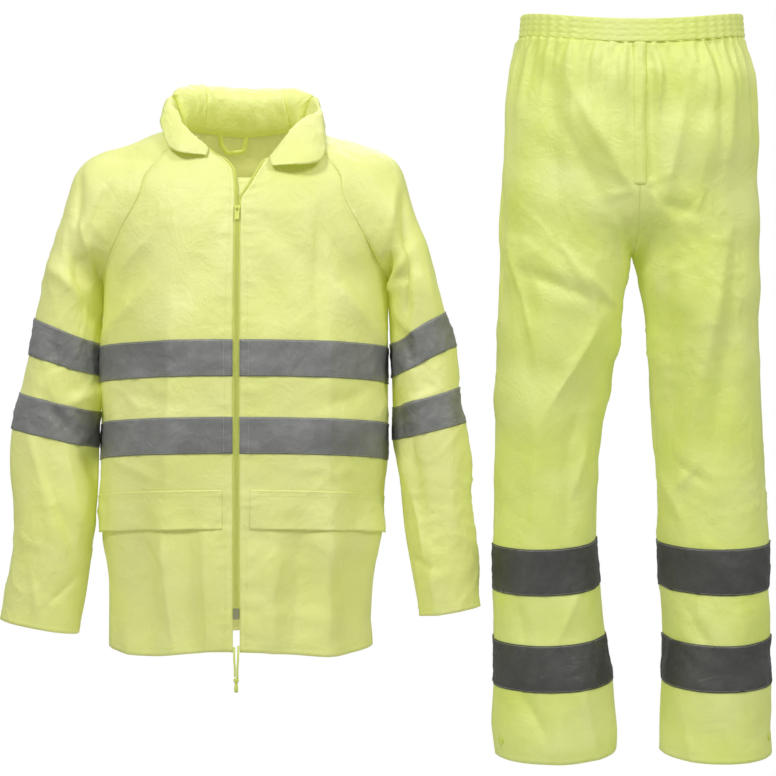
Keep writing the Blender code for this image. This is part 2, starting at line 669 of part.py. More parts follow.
def neck_line():
    """The upper edges of the panels and sleeves in one line, from the left front round the back."""
    return np.concatenate([
        body_grid("front_left")[-1], sleeve_grid("left")[-1], body_grid("back_left")[-1, ::-1],
        body_grid("back_right")[-1, 1:], sleeve_grid("right")[-1, ::-1], body_grid("front_right")[-1, ::-1],
    ])


def nearest_on(line, spot):
    """The point of a line of straight steps that lies nearest to a spot."""
    start, step = line[:-1], np.diff(line, axis=0)
    share = np.sum((spot - start) * step, axis=1) / np.maximum(np.sum(step * step, axis=1), 1e-12)
    found = start + step * np.clip(share, 0.0, 1.0)[:, None]
    return found[np.argmin(np.linalg.norm(found - spot, axis=1))]


def collar_grid():
    """The collar's points, rows from its seam over the fold to its edge, columns round the neck."""
    along = np.linspace(0.0, 1.0, COLLAR_SECTIONS)
    over = np.linspace(0.0, 1.0, COLLAR_FOLD_STEPS + 1)
    place = along[None, :] + 0 * over[:, None]
    points = collar_point(place, over[:, None] + 0 * place)
    line = neck_line()
    seat = np.array([nearest_on(line, spot) for spot in points[0]]) + np.array((0.0, 0.0, COLLAR_SEAT))
    share = np.clip(1.0 - over / COLLAR_SEAT_REACH, 0.0, 1.0)[:, None, None]
    return points + (seat - points[0])[None] * share


def material(name, colour, roughness, metallic=0.0):
    """A Principled finish."""
    finish = bpy.data.materials.new(name)
    finish.use_nodes = True
    shader = finish.node_tree.nodes["Principled BSDF"]
    shader.inputs["Base Color"].default_value = colour
    shader.inputs["Roughness"].default_value = roughness
    shader.inputs["Metallic"].default_value = metallic
    finish.diffuse_color = colour
    return finish


def add_mesh(name, mesh, finish, home):
    """An object of the mesh, in the suit's collection, with its own finish."""
    item = bpy.data.objects.new(name, mesh)
    home.objects.link(item)
    item.data.materials.append(material(name + "_finish", *finish))
    return item


def grid_mesh(name, points, flip=False, ring=False):
    """A mesh of four-sided faces on a grid of points."""
    rows, columns = points.shape[:2]
    mesh = bpy.data.meshes.new(name)
    index = np.arange(rows * columns).reshape(rows, columns)
    if ring:
        index = np.concatenate([index, index[:, :1]], axis=1)
    quads = np.stack([index[:-1, :-1], index[:-1, 1:], index[1:, 1:], index[1:, :-1]], axis=-1)
    quads = quads.reshape(-1, 4)
    if flip:
        quads = quads[:, ::-1]
    mesh.from_pydata(points.reshape(-1, 3).tolist(), [], quads.tolist())
    mesh.validate()
    mesh.shade_smooth()
    return mesh


def cloth(name, points, finish, home, thickness=CLOTH, outward=False, flip=False, ring=False):
    """A wall of cloth on a grid: its thickness lies behind the points, or in front of them."""
    item = add_mesh(name, grid_mesh(name, points, flip, ring), finish, home)
    wall = item.modifiers.new("wall", "SOLIDIFY")
    wall.thickness = thickness
    wall.offset = 1.0 if outward else -1.0
    wall.use_rim = True
    return item


def moved_out(points, distance, flip, ring=False):
    """The points moved along their normals."""
    normals = grid_normals(points, ring) * (-1.0 if flip else 1.0)
    if isinstance(distance, np.ndarray):
        return points + normals * distance[..., None]
    return points + normals * distance


def swept(name, path, across, out, section, finish, home):
    """A closed bar: a flat section carried along a path, with a flat cap on each end."""
    count = len(section)
    points = [
        spot + side * s + front * t
        for spot, side, front in zip(path, across, out)
        for s, t in section
    ]
    faces = []
    for row in range(len(path) - 1):
        for i in range(count):
            a = row * count + i
            b = row * count + (i + 1) % count
            faces.append((a, b, b + count, a + count))
    faces.append(tuple(reversed(range(count))))
    last = (len(path) - 1) * count
    faces.append(tuple(range(last, last + count)))
    mesh = bpy.data.meshes.new(name)
    mesh.from_pydata([tuple(p) for p in points], [], faces)
    work = bmesh.new()
    work.from_mesh(mesh)
    bmesh.ops.recalc_face_normals(work, faces=work.faces)
    bmesh.ops.triangulate(work, faces=[f for f in work.faces if len(f.verts) > 4])
    work.to_mesh(mesh)
    work.free()
    return add_mesh(name, mesh, finish, home)


def box_into(work, low, high):
    """A block between two corners, added to a mesh in the making."""
    made = bmesh.ops.create_cube(work, size=1.0)
    low, high = Vector(low), Vector(high)
    for vertex in made["verts"]:
        vertex.co = Vector(
            low[i] + (high[i] - low[i]) * (vertex.co[i] + 0.5) for i in range(3)
        )


def jacket_panels(home):
    """The fronts and the back, and what is sewn flat on them."""
    grids = {}
    for name in ("left", "right"):
        flip = name == "left"
        points = with_folds(body_grid("front_" + name), BODY_FOLDS, 1, flip)
        points = trimmed(points, end=SEAM_TRIM, last_row=SEAM_GAP)
        grids["front_" + name] = points
        cloth("front_" + name, points, (YELLOW, 0.42), home, flip=flip)
    left = trimmed(body_grid("back_left"), end=SEAM_TRIM, last_row=SEAM_GAP)
    right = trimmed(body_grid("back_right"), end=SEAM_TRIM, last_row=SEAM_GAP)
    back = np.concatenate([right[:, ::-1], left[:, 1:]], axis=1)
    grids["back"] = back
    cloth("back", back, (YELLOW, 0.42), home)
    tapes = (("upper", UPPER_TAPE_TOP), ("lower", LOWER_TAPE_TOP))
    for panel, grid in grids.items():
        flip = panel == "front_left"
        for height, top in tapes:
            piece = moved_out(grid, LAY_GAP, flip)
            piece = piece[level_index(top - REFLECTIVE_JACKET):level_index(top) + 1]
            name = "body_tape_" + height + "_" + panel.split("_")[-1]
            cloth(name, piece, (TAPE_GREY, 0.38), home, TAPE, outward=True, flip=flip)
    for name in ("left", "right"):
        flip = name == "left"
        pocket_flap(name, grids["front_" + name], flip, home)
    return grids


def pocket_flap(name, grid, flip, home):
    """A flap sewn along the pocket seam, its free edge a little proud of the front."""
    low, high = level_index(FLAP_EDGE), level_index(POCKET_SEAM)
    lift = np.zeros(grid.shape[:2])
    lift[low:high + 1] = np.linspace(FLAP_LIFT, LAY_GAP, high - low + 1)[:, None]
    piece = moved_out(grid, np.maximum(lift, LAY_GAP), flip)[low:high + 1, 1:]
    cloth("pocket_flap_" + name, piece, (YELLOW, 0.42), home, outward=True, flip=flip)


def sleeves(home):
    """The two raglan sleeves with their tapes."""
    rows = sleeve_rows()
    for name in ("left", "right"):
        flip = name == "left"
        folds = SLEEVE_FOLDS_LEFT if name == "left" else SLEEVE_FOLDS_RIGHT
        points = with_folds(sleeve_grid(name), folds, 1, flip)
        points = trimmed(points, start=RAGLAN_TRIM, end=RAGLAN_TRIM, last_row=SEAM_GAP)
        cloth("sleeve_" + name, points, (YELLOW, 0.42), home, flip=flip)
        out = moved_out(points, LAY_GAP, flip)
        for height, low, high in (("lower", 4, 5), ("upper", 6, 7)):
            first = int(np.argmin(np.abs(rows - ARM_STATIONS[low])))
            last = int(np.argmin(np.abs(rows - ARM_STATIONS[high])))
            piece = out[first:last + 1]
            cloth("sleeve_tape_" + height + "_" + name, piece, (TAPE_GREY, 0.38), home, TAPE,
                  outward=True, flip=flip)


def collar(home):
    """The turned-down collar, the stowed hood in it and the hanger loop."""
    points = collar_grid()
    cloth("collar", points, (YELLOW, 0.42), home)
    first, last = ROLL_COLUMNS
    back = points[:COLLAR_FOLD_STEPS // 2 + 1, first:last + 1]
    normals = grid_normals(points)[:COLLAR_FOLD_STEPS // 2 + 1, first:last + 1]
    forward = normals[1:2] + 0 * normals
    forward[-1] = normals[-1]
    rows, columns = back.shape[:2]
    rise = np.sin(np.linspace(0.0, 1.0, rows) * math.pi)[:, None] ** ROLL_ROUNDNESS
    ends = np.sin(np.linspace(ROLL_END, 1.0 - ROLL_END, columns) * math.pi)[None, :] ** ROLL_END_ROUNDNESS
    thick = ROLL_EDGE + (ROLL_BULGE - ROLL_EDGE) * rise * ends
    near = back + normals * LAY_GAP
    far = near + forward * thick[..., None]
    roll = bpy.data.meshes.new("hood_roll")
    count = rows * columns
    index = np.arange(count).reshape(rows, columns)
    front = np.stack([index[:-1, :-1], index[:-1, 1:], index[1:, 1:], index[1:, :-1]], axis=-1)
    front = front.reshape(-1, 4)
    rim = np.concatenate([index[0, :-1], index[:-1, -1], index[-1, :0:-1], index[:0:-1, 0]])
    after = np.roll(rim, -1)
    sides = np.stack([rim, after, after + count, rim + count], axis=-1)
    faces = front[:, [0, 3, 2, 1]].tolist() + (front + count).tolist() + sides.tolist()
    vertices = np.concatenate([near.reshape(-1, 3), far.reshape(-1, 3)])
    roll.from_pydata(vertices.tolist(), [], faces)
    work = bmesh.new()
    work.from_mesh(roll)
    bmesh.ops.recalc_face_normals(work, faces=work.faces)
    work.to_mesh(roll)
    work.free()
    add_mesh("hood_roll", roll, (YELLOW, 0.45), home)


def spot_on(grid, normals, x, z):
    """The point of a grid with the given x and z, and the normal there, between its points."""
    middle = grid.shape[1] // 2
    row = np.interp(z, grid[:, middle, 2], np.arange(grid.shape[0]))
    for _ in range(3):
        low = int(min(row, grid.shape[0] - 2))
        part = row - low
        line = grid[low] * (1 - part) + grid[low + 1] * part
        tilt = normals[low] * (1 - part) + normals[low + 1] * part
        order = np.argsort(line[:, 0])
        col = np.interp(x, line[order, 0], order.astype(float))
        near = int(min(col, grid.shape[1] - 2))
        share = col - near
        heights = grid[:, near, 2] * (1 - share) + grid[:, near + 1, 2] * share
        row = np.interp(z, heights, np.arange(grid.shape[0]))
    point = line[near] * (1 - share) + line[near + 1] * share
    normal = tilt[near] * (1 - share) + tilt[near + 1] * share
    return point, normal / np.linalg.norm(normal)


def hanger_loop(grids, home):
    """The tape loop that hangs from the back neck seam, against the inside of the back."""
    normals = grid_normals(grids["back"])
    half = LOOP_WIDTH / 2
    spots = [spot_on(grids["back"], normals, x, z) for x, z in LOOP_OUTLINE]
    path = np.array([point - normal * (CLOTH + LOOP_GAP) for point, normal in spots])
    direction = np.gradient(path, axis=0)
    direction /= np.linalg.norm(direction, axis=1, keepdims=True)
    out = np.array([-normal for _, normal in spots])
    across = np.cross(direction, out)
    across /= np.linalg.norm(across, axis=1, keepdims=True)
    out = np.cross(across, direction)
    section = ((-half, 0.0), (half, 0.0), (half, TAPE), (-half, TAPE))
    swept("hanger_loop", path, across, out, section, (YELLOW, 0.5), home)


def zip_guard(home):
    """The underlap behind the zip, from its foot up to the neck, where it fills the opening."""
    heights = np.linspace(GUARD_FOOT, GUARD_TOP, 15)
    rows = []
    for z in heights:
        open_left = float(look_up(EDGE_ROWS, EDGE_COLUMNS, "left", z))
        open_right = float(look_up(EDGE_ROWS, EDGE_COLUMNS, "right", z))
        row = []
        for x in np.linspace(-open_left - GUARD_LAP, open_right + GUARD_LAP, 4):
            side = "left" if x < 0 else "right"
            width = float(look_up(BODY_ROWS, BODY_COLUMNS, side, z))
            depth = float(look_up(BODY_ROWS, BODY_COLUMNS, "front", z))
            row.append((x, -depth * math.sqrt(1 - (x / width) ** 2), z))
        rows.append(row)
    points = np.array(rows)
    inside = points - grid_normals(points) * GUARD_DEPTH
    cloth("zip_guard", inside, (YELLOW, 0.45), home, TAPE)


def zip_pieces(grids, home):
    """The two zip tapes with their half chains, on the fronts' own edges, and the end patch."""
    top = len(body_levels()) - 1
    first = 1
    for name in ("left", "right"):
        grid = grids["front_" + name]
        sign = -1.0 if name == "left" else 1.0
        normals = grid_normals(grid) * (-1.0 if name == "left" else 1.0)
        path = grid[first:top + 1, 0].copy()
        next_column = grid[first:top + 1, 1]
        across = next_column - path
        across /= np.linalg.norm(across, axis=1, keepdims=True)
        out = normals[first:top + 1, 0]
        out = out - across * np.sum(out * across, axis=1, keepdims=True)
        out /= np.linalg.norm(out, axis=1, keepdims=True)
        reach = ZIP_GAP / 2 - SEAM_GAP / 2
        behind = -(CLOTH + 2 * LAY_GAP)
        wide = ZIP_TAPE_WIDTH - CHAIN_CLEAR
        section = (
            (-reach, behind - TAPE), (wide, behind - TAPE), (wide, behind),
            (-CHAIN_CLEAR, behind), (-CHAIN_CLEAR, -CHAIN_SINK), (-reach, -CHAIN_SINK),
        )
        swept("zip_" + name, path, across, out, section, (ZIP_YELLOW, 0.5), home)


def slider_frame():
    """The slider's middle, on the front of the chain, and how far the chain leans back there."""
    step = 0.004
    low, middle, high = (
        -float(look_up(BODY_ROWS, BODY_COLUMNS, "front", SLIDER_HEIGHT + shift))
        for shift in (-step, 0.0, step)
    )
    lean = math.atan2(high - low, 2 * step)
    return Vector((0.0, middle - LAY_GAP, SLIDER_HEIGHT)), lean


def in_slider_frame(place):
    """A place given from the slider's middle, across, outwards (-Y) and up the chain."""
    middle, lean = slider_frame()
    return middle + Matrix.Rotation(-lean, 3, "X") @ Vector(place)


def slider_and_pull(home):
    """A flat slider with a bridge on its face, and a pull tab whose bar turns in that bridge."""
    middle, lean = slider_frame()
    half = SLIDER_WIDTH / 2
    work = bmesh.new()
    box_into(work, (-half, -SLIDER_PLATE, -SLIDER_LENGTH / 2), (half, 0.0, SLIDER_LENGTH / 2))
    mesh = bpy.data.meshes.new("zip_slider")
    work.to_mesh(mesh)
    work.free()
    slider = add_mesh("zip_slider", mesh, (ZIP_YELLOW, 0.35), home)
    slider.location = middle
    slider.rotation_euler = (-lean, 0.0, 0.0)
    edge = slider.modifiers.new("edge", "BEVEL")
    edge.width = 0.0005
    edge.segments = 1
    rise = BRIDGE_REACH
    route = (
        (0.0, -SLIDER_PLATE + 0.0005, PULL_RISE - rise), (0.0, -SLIDER_PLATE - 0.0011, PULL_RISE - rise),
        (0.0, -SLIDER_PLATE - BRIDGE_HEIGHT, PULL_RISE - rise * 0.4),
        (0.0, -SLIDER_PLATE - BRIDGE_HEIGHT, PULL_RISE + rise * 0.4),
        (0.0, -SLIDER_PLATE - 0.0011, PULL_RISE + rise), (0.0, -SLIDER_PLATE + 0.0005, PULL_RISE + rise),
    )
    curve = bpy.data.curves.new("bridge", "CURVE")
    curve.dimensions = "3D"
    line = curve.splines.new("POLY")
    line.points.add(len(route) - 1)
    for point, spot in zip(line.points, route):
        point.co = (*spot, 1.0)
    curve.bevel_depth = BRIDGE_WIDTH / 2
    curve.bevel_resolution = 1
    curve.use_fill_caps = True
    bridge = bpy.data.objects.new("bridge_cutter", welded_mesh(curve, home))
    bridge.location = middle
    bridge.rotation_euler = (-lean, 0.0, 0.0)
    bridge.hide_render = True
    bridge.display_type = "WIRE"
    cutters().objects.link(bridge)
    join = slider.modifiers.new("bridge", "BOOLEAN")
    join.operation = "UNION"
    join.object = bridge
    join.solver = "EXACT"
    pull_tab(home)


def welded_mesh(curve, home):
    """The closed mesh of a curve's tube or plate, its caps welded on."""
    guide = bpy.data.objects.new("guide", curve)
    home.objects.link(guide)
    solid = bpy.data.meshes.new_from_object(guide.evaluated_get(bpy.context.evaluated_depsgraph_get()))
    bpy.data.objects.remove(guide, do_unlink=True)
    work = bmesh.new()
    work.from_mesh(solid)
    bmesh.ops.remove_doubles(work, verts=work.verts, dist=1e-6)
    bmesh.ops.recalc_face_normals(work, faces=work.faces)
    work.to_mesh(solid)
    work.free()
    return solid


def cutters():
    """The collection of guides that the build leaves out."""
    found = bpy.data.collections.get("cutters")
    if found is None:
        found = bpy.data.collections.new("cutters")
        bpy.context.scene.collection.children.link(found)
    return found


def pull_tab(home):
    """A flat tab with a window: its upper bar is the hinge, and lies in the slider's bridge."""
    half = PULL_WIDTH / 2
    corner = 0.0016
    outline = (
        (-half, PULL_BAR), (half, PULL_BAR), (half, corner - PULL_LENGTH),
        (half - corner, -PULL_LENGTH), (corner - half, -PULL_LENGTH), (-half, corner - PULL_LENGTH),
    )
    inside = half - PULL_RAIL
    window = (
        (-inside, -PULL_BAR), (inside, -PULL_BAR), (inside, -PULL_WINDOW), (-inside, -PULL_WINDOW),
    )
    shape = bpy.data.curves.new("zip_pull", "CURVE")
    shape.dimensions = "2D"
    shape.fill_mode = "BOTH"
    shape.extrude = PULL_BAR
    for ring in (outline, window):
        spline = shape.splines.new("POLY")
        spline.points.add(len(ring) - 1)
        spline.use_cyclic_u = True
        for point, (across, up) in zip(spline.points, ring):
            point.co = (across, up, 0.0, 1.0)
    pull = add_mesh("zip_pull", welded_mesh(shape, home), (ZIP_YELLOW, 0.35), home)
    _, lean = slider_frame()
    pull.location = in_slider_frame((0.0, -SLIDER_PLATE - PULL_STANDOFF, PULL_RISE))
    pull.rotation_euler = (math.pi / 2 - lean, 0.0, 0.0)


def zip_foot(home):
    """The patch that closes the zip's lower end, laid along both half chains."""
    heights = (ZIP_FOOT, ZIP_FOOT + PATCH_LENGTH)
    depths = [float(look_up(BODY_ROWS, BODY_COLUMNS, "front", z)) for z in heights]
    path = np.array([(0.0, -depth, z) for depth, z in zip(depths, heights)])
    across = np.array([(1.0, 0.0, 0.0)] * 2)
    out = np.array([(0.0, -1.0, 0.0)] * 2)
    half = PATCH_HALF_WIDTH
    low, high = PATCH_CLEAR, PATCH_CLEAR + CLOTH
    section = ((-half, low), (half, low), (half, high), (-half, high))
    swept("zip_end_patch", path, across, out, section, (OLIVE, 0.6), home)


def cord(name, route, home):
    """A round cord along its route: a smooth curve read at close steps, as a tube."""
    points = np.array(route)
    places = np.linspace(0.0, 1.0, len(points))
    at = np.linspace(0.0, 1.0, 9)
    path = np.stack([smooth(at, places, points[:, i].copy()) for i in range(3)], axis=-1)
    shape = bpy.data.curves.new(name, "CURVE")
    shape.dimensions = "3D"
    line = shape.splines.new("POLY")
    line.points.add(len(path) - 1)
    for point, spot in zip(line.points, path):
        point.co = (*spot, 1.0)
    shape.bevel_depth = CORD_DIAMETER / 2
    shape.bevel_resolution = 2
    shape.use_fill_caps = True
    item = bpy.data.objects.new(name, shape)
    item.data.materials.append(material(name + "_finish", YELLOW, 0.7))
    home.objects.link(item)


def cord_knot(home):
    """The knot that ties both ends, and the short brush of their ends below it."""
    x, y, z = 0.0, -0.1490, CORD_LEFT_ROUTE[-1][2] - SEAM_GAP - KNOT_RADIUS
    rings = ((KNOT_RADIUS, 0.40), (0.72 * KNOT_RADIUS, 0.80), (0.0, 1.0), (-0.70 * KNOT_RADIUS, 0.80),
             (-0.95 * KNOT_RADIUS, 0.50), (-KNOT_RADIUS - TASSEL_LENGTH * 0.5, 0.72),
             (-KNOT_RADIUS - TASSEL_LENGTH, 0.62))
    work = bmesh.new()
    sides = 12
    rows = []
    for up, size in rings:
        ring = []
        for i in range(sides):
            angle = 2 * math.pi * i / sides
            ring.append(work.verts.new((x + size * KNOT_RADIUS * math.cos(angle),
                                        y + size * KNOT_RADIUS * math.sin(angle), z + up)))
        rows.append(ring)
    for upper, lower in zip(rows[:-1], rows[1:]):
        for i in range(sides):
            j = (i + 1) % sides
            work.faces.new((upper[i], lower[i], lower[j], upper[j]))
    work.faces.new(rows[0])
    work.faces.new(list(reversed(rows[-1])))
    bmesh.ops.recalc_face_normals(work, faces=work.faces)
    mesh = bpy.data.meshes.new("cord_knot")
    work.to_mesh(mesh)
    work.free()
    add_mesh("cord_knot", mesh, (YELLOW, 0.75), home)


def trousers(home):
    """The four trouser panels, the leg tapes, the fly strip and the studs."""
    grids = {}
    for name in ("left", "right"):
        for half, part in ((1, "front"), (-1, "back")):
            flip = not ((name == "left") == (half == 1))
            points = leg_grid(name, half)
            points = with_folds(points, LEG_FOLDS, 1, flip) if half == 1 else points
            points = trimmed(points, start=SEAM_TRIM, end=SEAM_TRIM)
            grids[part + "_" + name] = points
            cloth("trouser_" + part + "_" + name, points, (TROUSER_YELLOW, 0.45), home, flip=flip)
    for name in ("left", "right"):
        front, back = grids["front_" + name], grids["back_" + name]
        flip = name == "right"
        for height, top in (("upper", LEG_UPPER_TAPE_TOP), ("lower", LEG_LOWER_TAPE_TOP)):
            first, last = leg_index(top - REFLECTIVE_TROUSERS), leg_index(top)
            out_front = moved_out(front, LAY_GAP, flip)[first:last + 1]
            out_back = moved_out(back, LAY_GAP, not flip)[first:last + 1]
            ring = np.concatenate([out_front, out_back[:, ::-1]], axis=1)
            cloth("leg_tape_" + height + "_" + name, ring, (TAPE_GREY, 0.40), home, TAPE,
                  outward=True, flip=flip, ring=True)
    fly_strip(grids, home)
    studs(grids, home)


def waistband(home):
    """The elastic waistband: a ring of gathers, held in at its rows of shirring."""
    columns = WAIST_GATHERS * BAND_STEPS_A_GATHER
    heights = np.linspace(WAIST_SEAM + SEAM_GAP, WAIST_TOP, 4)
    angle = np.arange(columns) * 2 * math.pi / columns
    rows = []
    for height in heights:
        left = float(look_up(HIP_ROWS, HIP_COLUMNS, "left", height))
        right = float(look_up(HIP_ROWS, HIP_COLUMNS, "right", height))
        width = np.where(np.cos(angle) < 0, left, right)
        front = float(look_up(HIP_ROWS, HIP_COLUMNS, "front", height))
        back = float(look_up(HIP_ROWS, HIP_COLUMNS, "back", height))
        depth = np.where(np.sin(angle) < 0, front, back)
        wave = GATHER_DEPTH * np.cos(WAIST_GATHERS * angle)
        size = 1.0 + wave / BAND_MEAN_RADIUS
        dip = np.where(np.sin(angle) < 0, WAIST_DIP_FRONT, WAIST_DIP_BACK) * np.sin(angle) ** 2
        rows.append(np.stack([TROUSERS_X + width * size * np.cos(angle),
                              depth * size * np.sin(angle), height - dip], axis=-1))
    cloth("waistband", np.array(rows), (TROUSER_YELLOW, 0.5), home, ring=True)


def fly_strip(grids, home):
    """The strip stitched over the centre front seam, from the waist down."""
    first = leg_index(FLY_FOOT)
    sides = []
    for name in ("left", "right"):
        grid = moved_out(grids["front_" + name], LAY_GAP, name == "right")[first:]
        edge, following = grid[:, -1], grid[:, -2]
        gap = following - edge
        size = np.linalg.norm(gap, axis=1, keepdims=True)
        sides.append((edge, edge + gap / size * FLY_HALF))
    strip = np.stack([sides[0][1], sides[0][0], sides[1][0], sides[1][1]], axis=1)
    strip = trimmed(strip, last_row=SEAM_GAP)
    cloth("fly_strip", strip, (TROUSER_YELLOW, 0.45), home, TAPE, outward=True)


def studs(grids, home):
    """A press stud near the side seam of each leg's hem, flat on the front."""
    for name, column_place in (("left", 1), ("right", 1)):
        grid = grids["front_" + name]
        flip = name == "right"
        normals = grid_normals(grid) * (-1.0 if flip else 1.0)
        low = (grid[0, column_place] + grid[1, column_place + 1]) / 2
        normal = normals[0, column_place] + normals[1, column_place + 1]
        normal /= np.linalg.norm(normal)
        centre = low + normal * STUD_STANDOFF
        work = bmesh.new()
        bmesh.ops.create_cone(work, cap_ends=True, segments=16, radius1=STUD_WIDE,
                              radius2=STUD_NARROW, depth=STUD_DEPTH)
        mesh = bpy.data.meshes.new("press_stud_" + name)
        work.to_mesh(mesh)
        work.free()
        stud = add_mesh("press_stud_" + name, mesh, (ZIP_YELLOW, 0.35), home)
        stud.location = centre
        stud.rotation_mode = "QUATERNION"
        stud.rotation_quaternion = Vector((0, 0, 1)).rotation_difference(Vector(normal))


def build():
    """The whole suit."""
    clear_scene()
    home = bpy.data.collections.new("rain_suit")
    bpy.context.scene.collection.children.link(home)
    grids = jacket_panels(home)
    sleeves(home)
    collar(home)
    hanger_loop(grids, home)
    zip_guard(home)
    zip_pieces(grids, home)
    slider_and_pull(home)
    zip_foot(home)
    cord("cord_left", CORD_LEFT_ROUTE, home)
    cord("cord_right", CORD_RIGHT_ROUTE, home)
    cord_knot(home)
    trousers(home)
    waistband(home)


build()
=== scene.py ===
"""Looks of the high-visibility rain suit: the jacket with its stowed hood, and the trousers.

Metres, +Z up, the front faces -Y, left is -X. Every cloth piece is a grid of points worked
out with numpy from its own form, laid in folds and made a thin shell. What is sewn on a
panel is read from that panel's own points, so that it follows each of its folds.
"""

import math

import bmesh
import bpy
import numpy as np
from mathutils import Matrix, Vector


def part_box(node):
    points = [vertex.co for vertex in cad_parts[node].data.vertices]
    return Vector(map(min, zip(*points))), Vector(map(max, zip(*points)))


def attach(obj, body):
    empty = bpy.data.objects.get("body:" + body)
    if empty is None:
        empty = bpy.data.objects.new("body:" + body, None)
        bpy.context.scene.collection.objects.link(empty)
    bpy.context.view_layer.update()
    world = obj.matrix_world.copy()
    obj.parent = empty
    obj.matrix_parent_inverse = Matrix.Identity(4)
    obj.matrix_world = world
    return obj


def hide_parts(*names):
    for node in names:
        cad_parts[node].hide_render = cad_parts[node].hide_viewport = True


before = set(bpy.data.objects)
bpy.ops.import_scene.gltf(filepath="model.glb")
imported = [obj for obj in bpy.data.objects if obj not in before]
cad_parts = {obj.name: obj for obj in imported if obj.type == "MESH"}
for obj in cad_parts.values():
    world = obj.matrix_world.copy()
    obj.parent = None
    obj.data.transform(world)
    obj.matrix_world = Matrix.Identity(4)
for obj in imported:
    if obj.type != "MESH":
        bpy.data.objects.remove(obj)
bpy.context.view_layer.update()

# Thickness of the cloth and the tapes, and how far a sewn piece stands off
CLOTH = 0.0006
TAPE = 0.0004
LAY = 0.0004

# The camera, the floor and the light of the studio
CAMERA_X = 0.2059
CAMERA_Z = -0.338
CAMERA_DISTANCE = 3.3
FRAME_WIDTH = 1.102
FLOOR_HALF = 2.5
FLOOR_BELOW = 0.95
FLOOR_GREY = 0.88
WORLD_BELOW = 0.05
WORLD_ABOVE = 0.66

# Each lamp: its name, place, the point it faces, power in watts and side length
LAMPS = (
    ("key_light", (-1.0, -1.9, 1.9), (0.1, 0.0, -0.02), 45.5, 0.7),
    ("side_light", (1.7, -1.7, 1.6), (0.3, 0.0, -0.05), 29.0, 0.9),
    ("back_light", (0.3, 2.2, 1.6), (0.2, 0.0, -0.3), 18.0, 1.6),
)

# How strongly the folds are laid, and the heights of the small creases and waves
FOLD_STRENGTH = 1.7
CRINKLE = 0.0014
SLOW_WAVE = 0.0021
SMALL_WAVE = 0.0004
CHEST_CALM = 0.55

REFLECTIVE_JACKET = 0.050
REFLECTIVE_TROUSERS = 0.065

# Heights on the jacket's centre front
ARMPIT = -0.199
HEM = -0.697
POCKET_SEAM = -0.476
FLAP_EDGE = -0.530
FLAP_LIFT = 0.0036
FLAP_LAY = 0.00015
FLAP_CLOTH = 0.0004
FLAP_START = 0.045
UPPER_TAPE_TOP = -0.272
LOWER_TAPE_TOP = -0.377
ZIP_GAP = 0.0092
ZIP_FOOT = -0.652
GUARD_FOOT = -0.641
GUARD_TOP = -0.046
GUARD_LAP = 0.008
GUARD_DEPTH = 0.0042

# Heights on the trousers' side seams
TROUSERS_X = 0.5517
CROTCH = -0.151
TROUSER_HEM = -0.850
WAIST_SEAM = 0.158
WAIST_TOP = 0.190
WAIST_GATHERS = 52
GATHER_HEIGHT = 0.0034
GATHER_REACH = 0.052
RIPPLE_HEIGHT = 0.0026
RIPPLE_REACH = 0.13
BAND_GATHER = 0.0006
BAND_PUFF = 0.0004
BAND_SEAT = 0.0004
LEG_UPPER_TAPE_TOP = -0.552
LEG_LOWER_TAPE_TOP = -0.686
CROTCH_CURVE = 0.090
CROTCH_BLEND = 0.150
HIP_BLEND = 0.130
CROTCH_SOFT = 0.070
CROTCH_ROUNDS = 140
HEM_TILT = 0.004
HEM_DIP_FRONT = 0.010
HEM_DIP_BACK = 0.002
WAIST_DIP_FRONT = 0.020
WAIST_DIP_BACK = 0.004
WAIST_DIP_START = 0.040
WAIST_DIP_REACH = 0.110
FLY_HALF = 0.010
FLY_FOOT = -0.060
FLY_LAY = (0.0004, 0.0004, 0.0003, 0.0001, -0.0006)

BODY_COLUMNS = ("height", "left", "right", "front", "back", "side_drop", "dip")
BODY_ROWS = (
    (-0.700, 0.1905, 0.1800, 0.146, 0.146, 0.003, 0.009),
    (-0.620, 0.1900, 0.1840, 0.149, 0.149, 0.008, 0.003),
    (-0.540, 0.1965, 0.1960, 0.152, 0.151, 0.012, 0.000),
    (-0.480, 0.2020, 0.2010, 0.153, 0.151, 0.015, 0.000),
    (-0.400, 0.2010, 0.2060, 0.154, 0.150, 0.013, 0.000),
    (-0.280, 0.2000, 0.2060, 0.152, 0.148, 0.0095, 0.000),
    (-0.199, 0.1980, 0.2040, 0.144, 0.145, 0.006, 0.000),
    (-0.120, 0.2070, 0.2120, 0.132, 0.139, 0.000, 0.000),
    (-0.057, 0.2050, 0.2120, 0.113, 0.126, 0.000, 0.000),
    (-0.014, 0.1700, 0.1780, 0.088, 0.110, 0.000, 0.000),
    (0.012, 0.1150, 0.1180, 0.068, 0.094, 0.000, 0.000),
    (0.034, 0.0950, 0.0950, 0.060, 0.076, 0.000, 0.000),
)

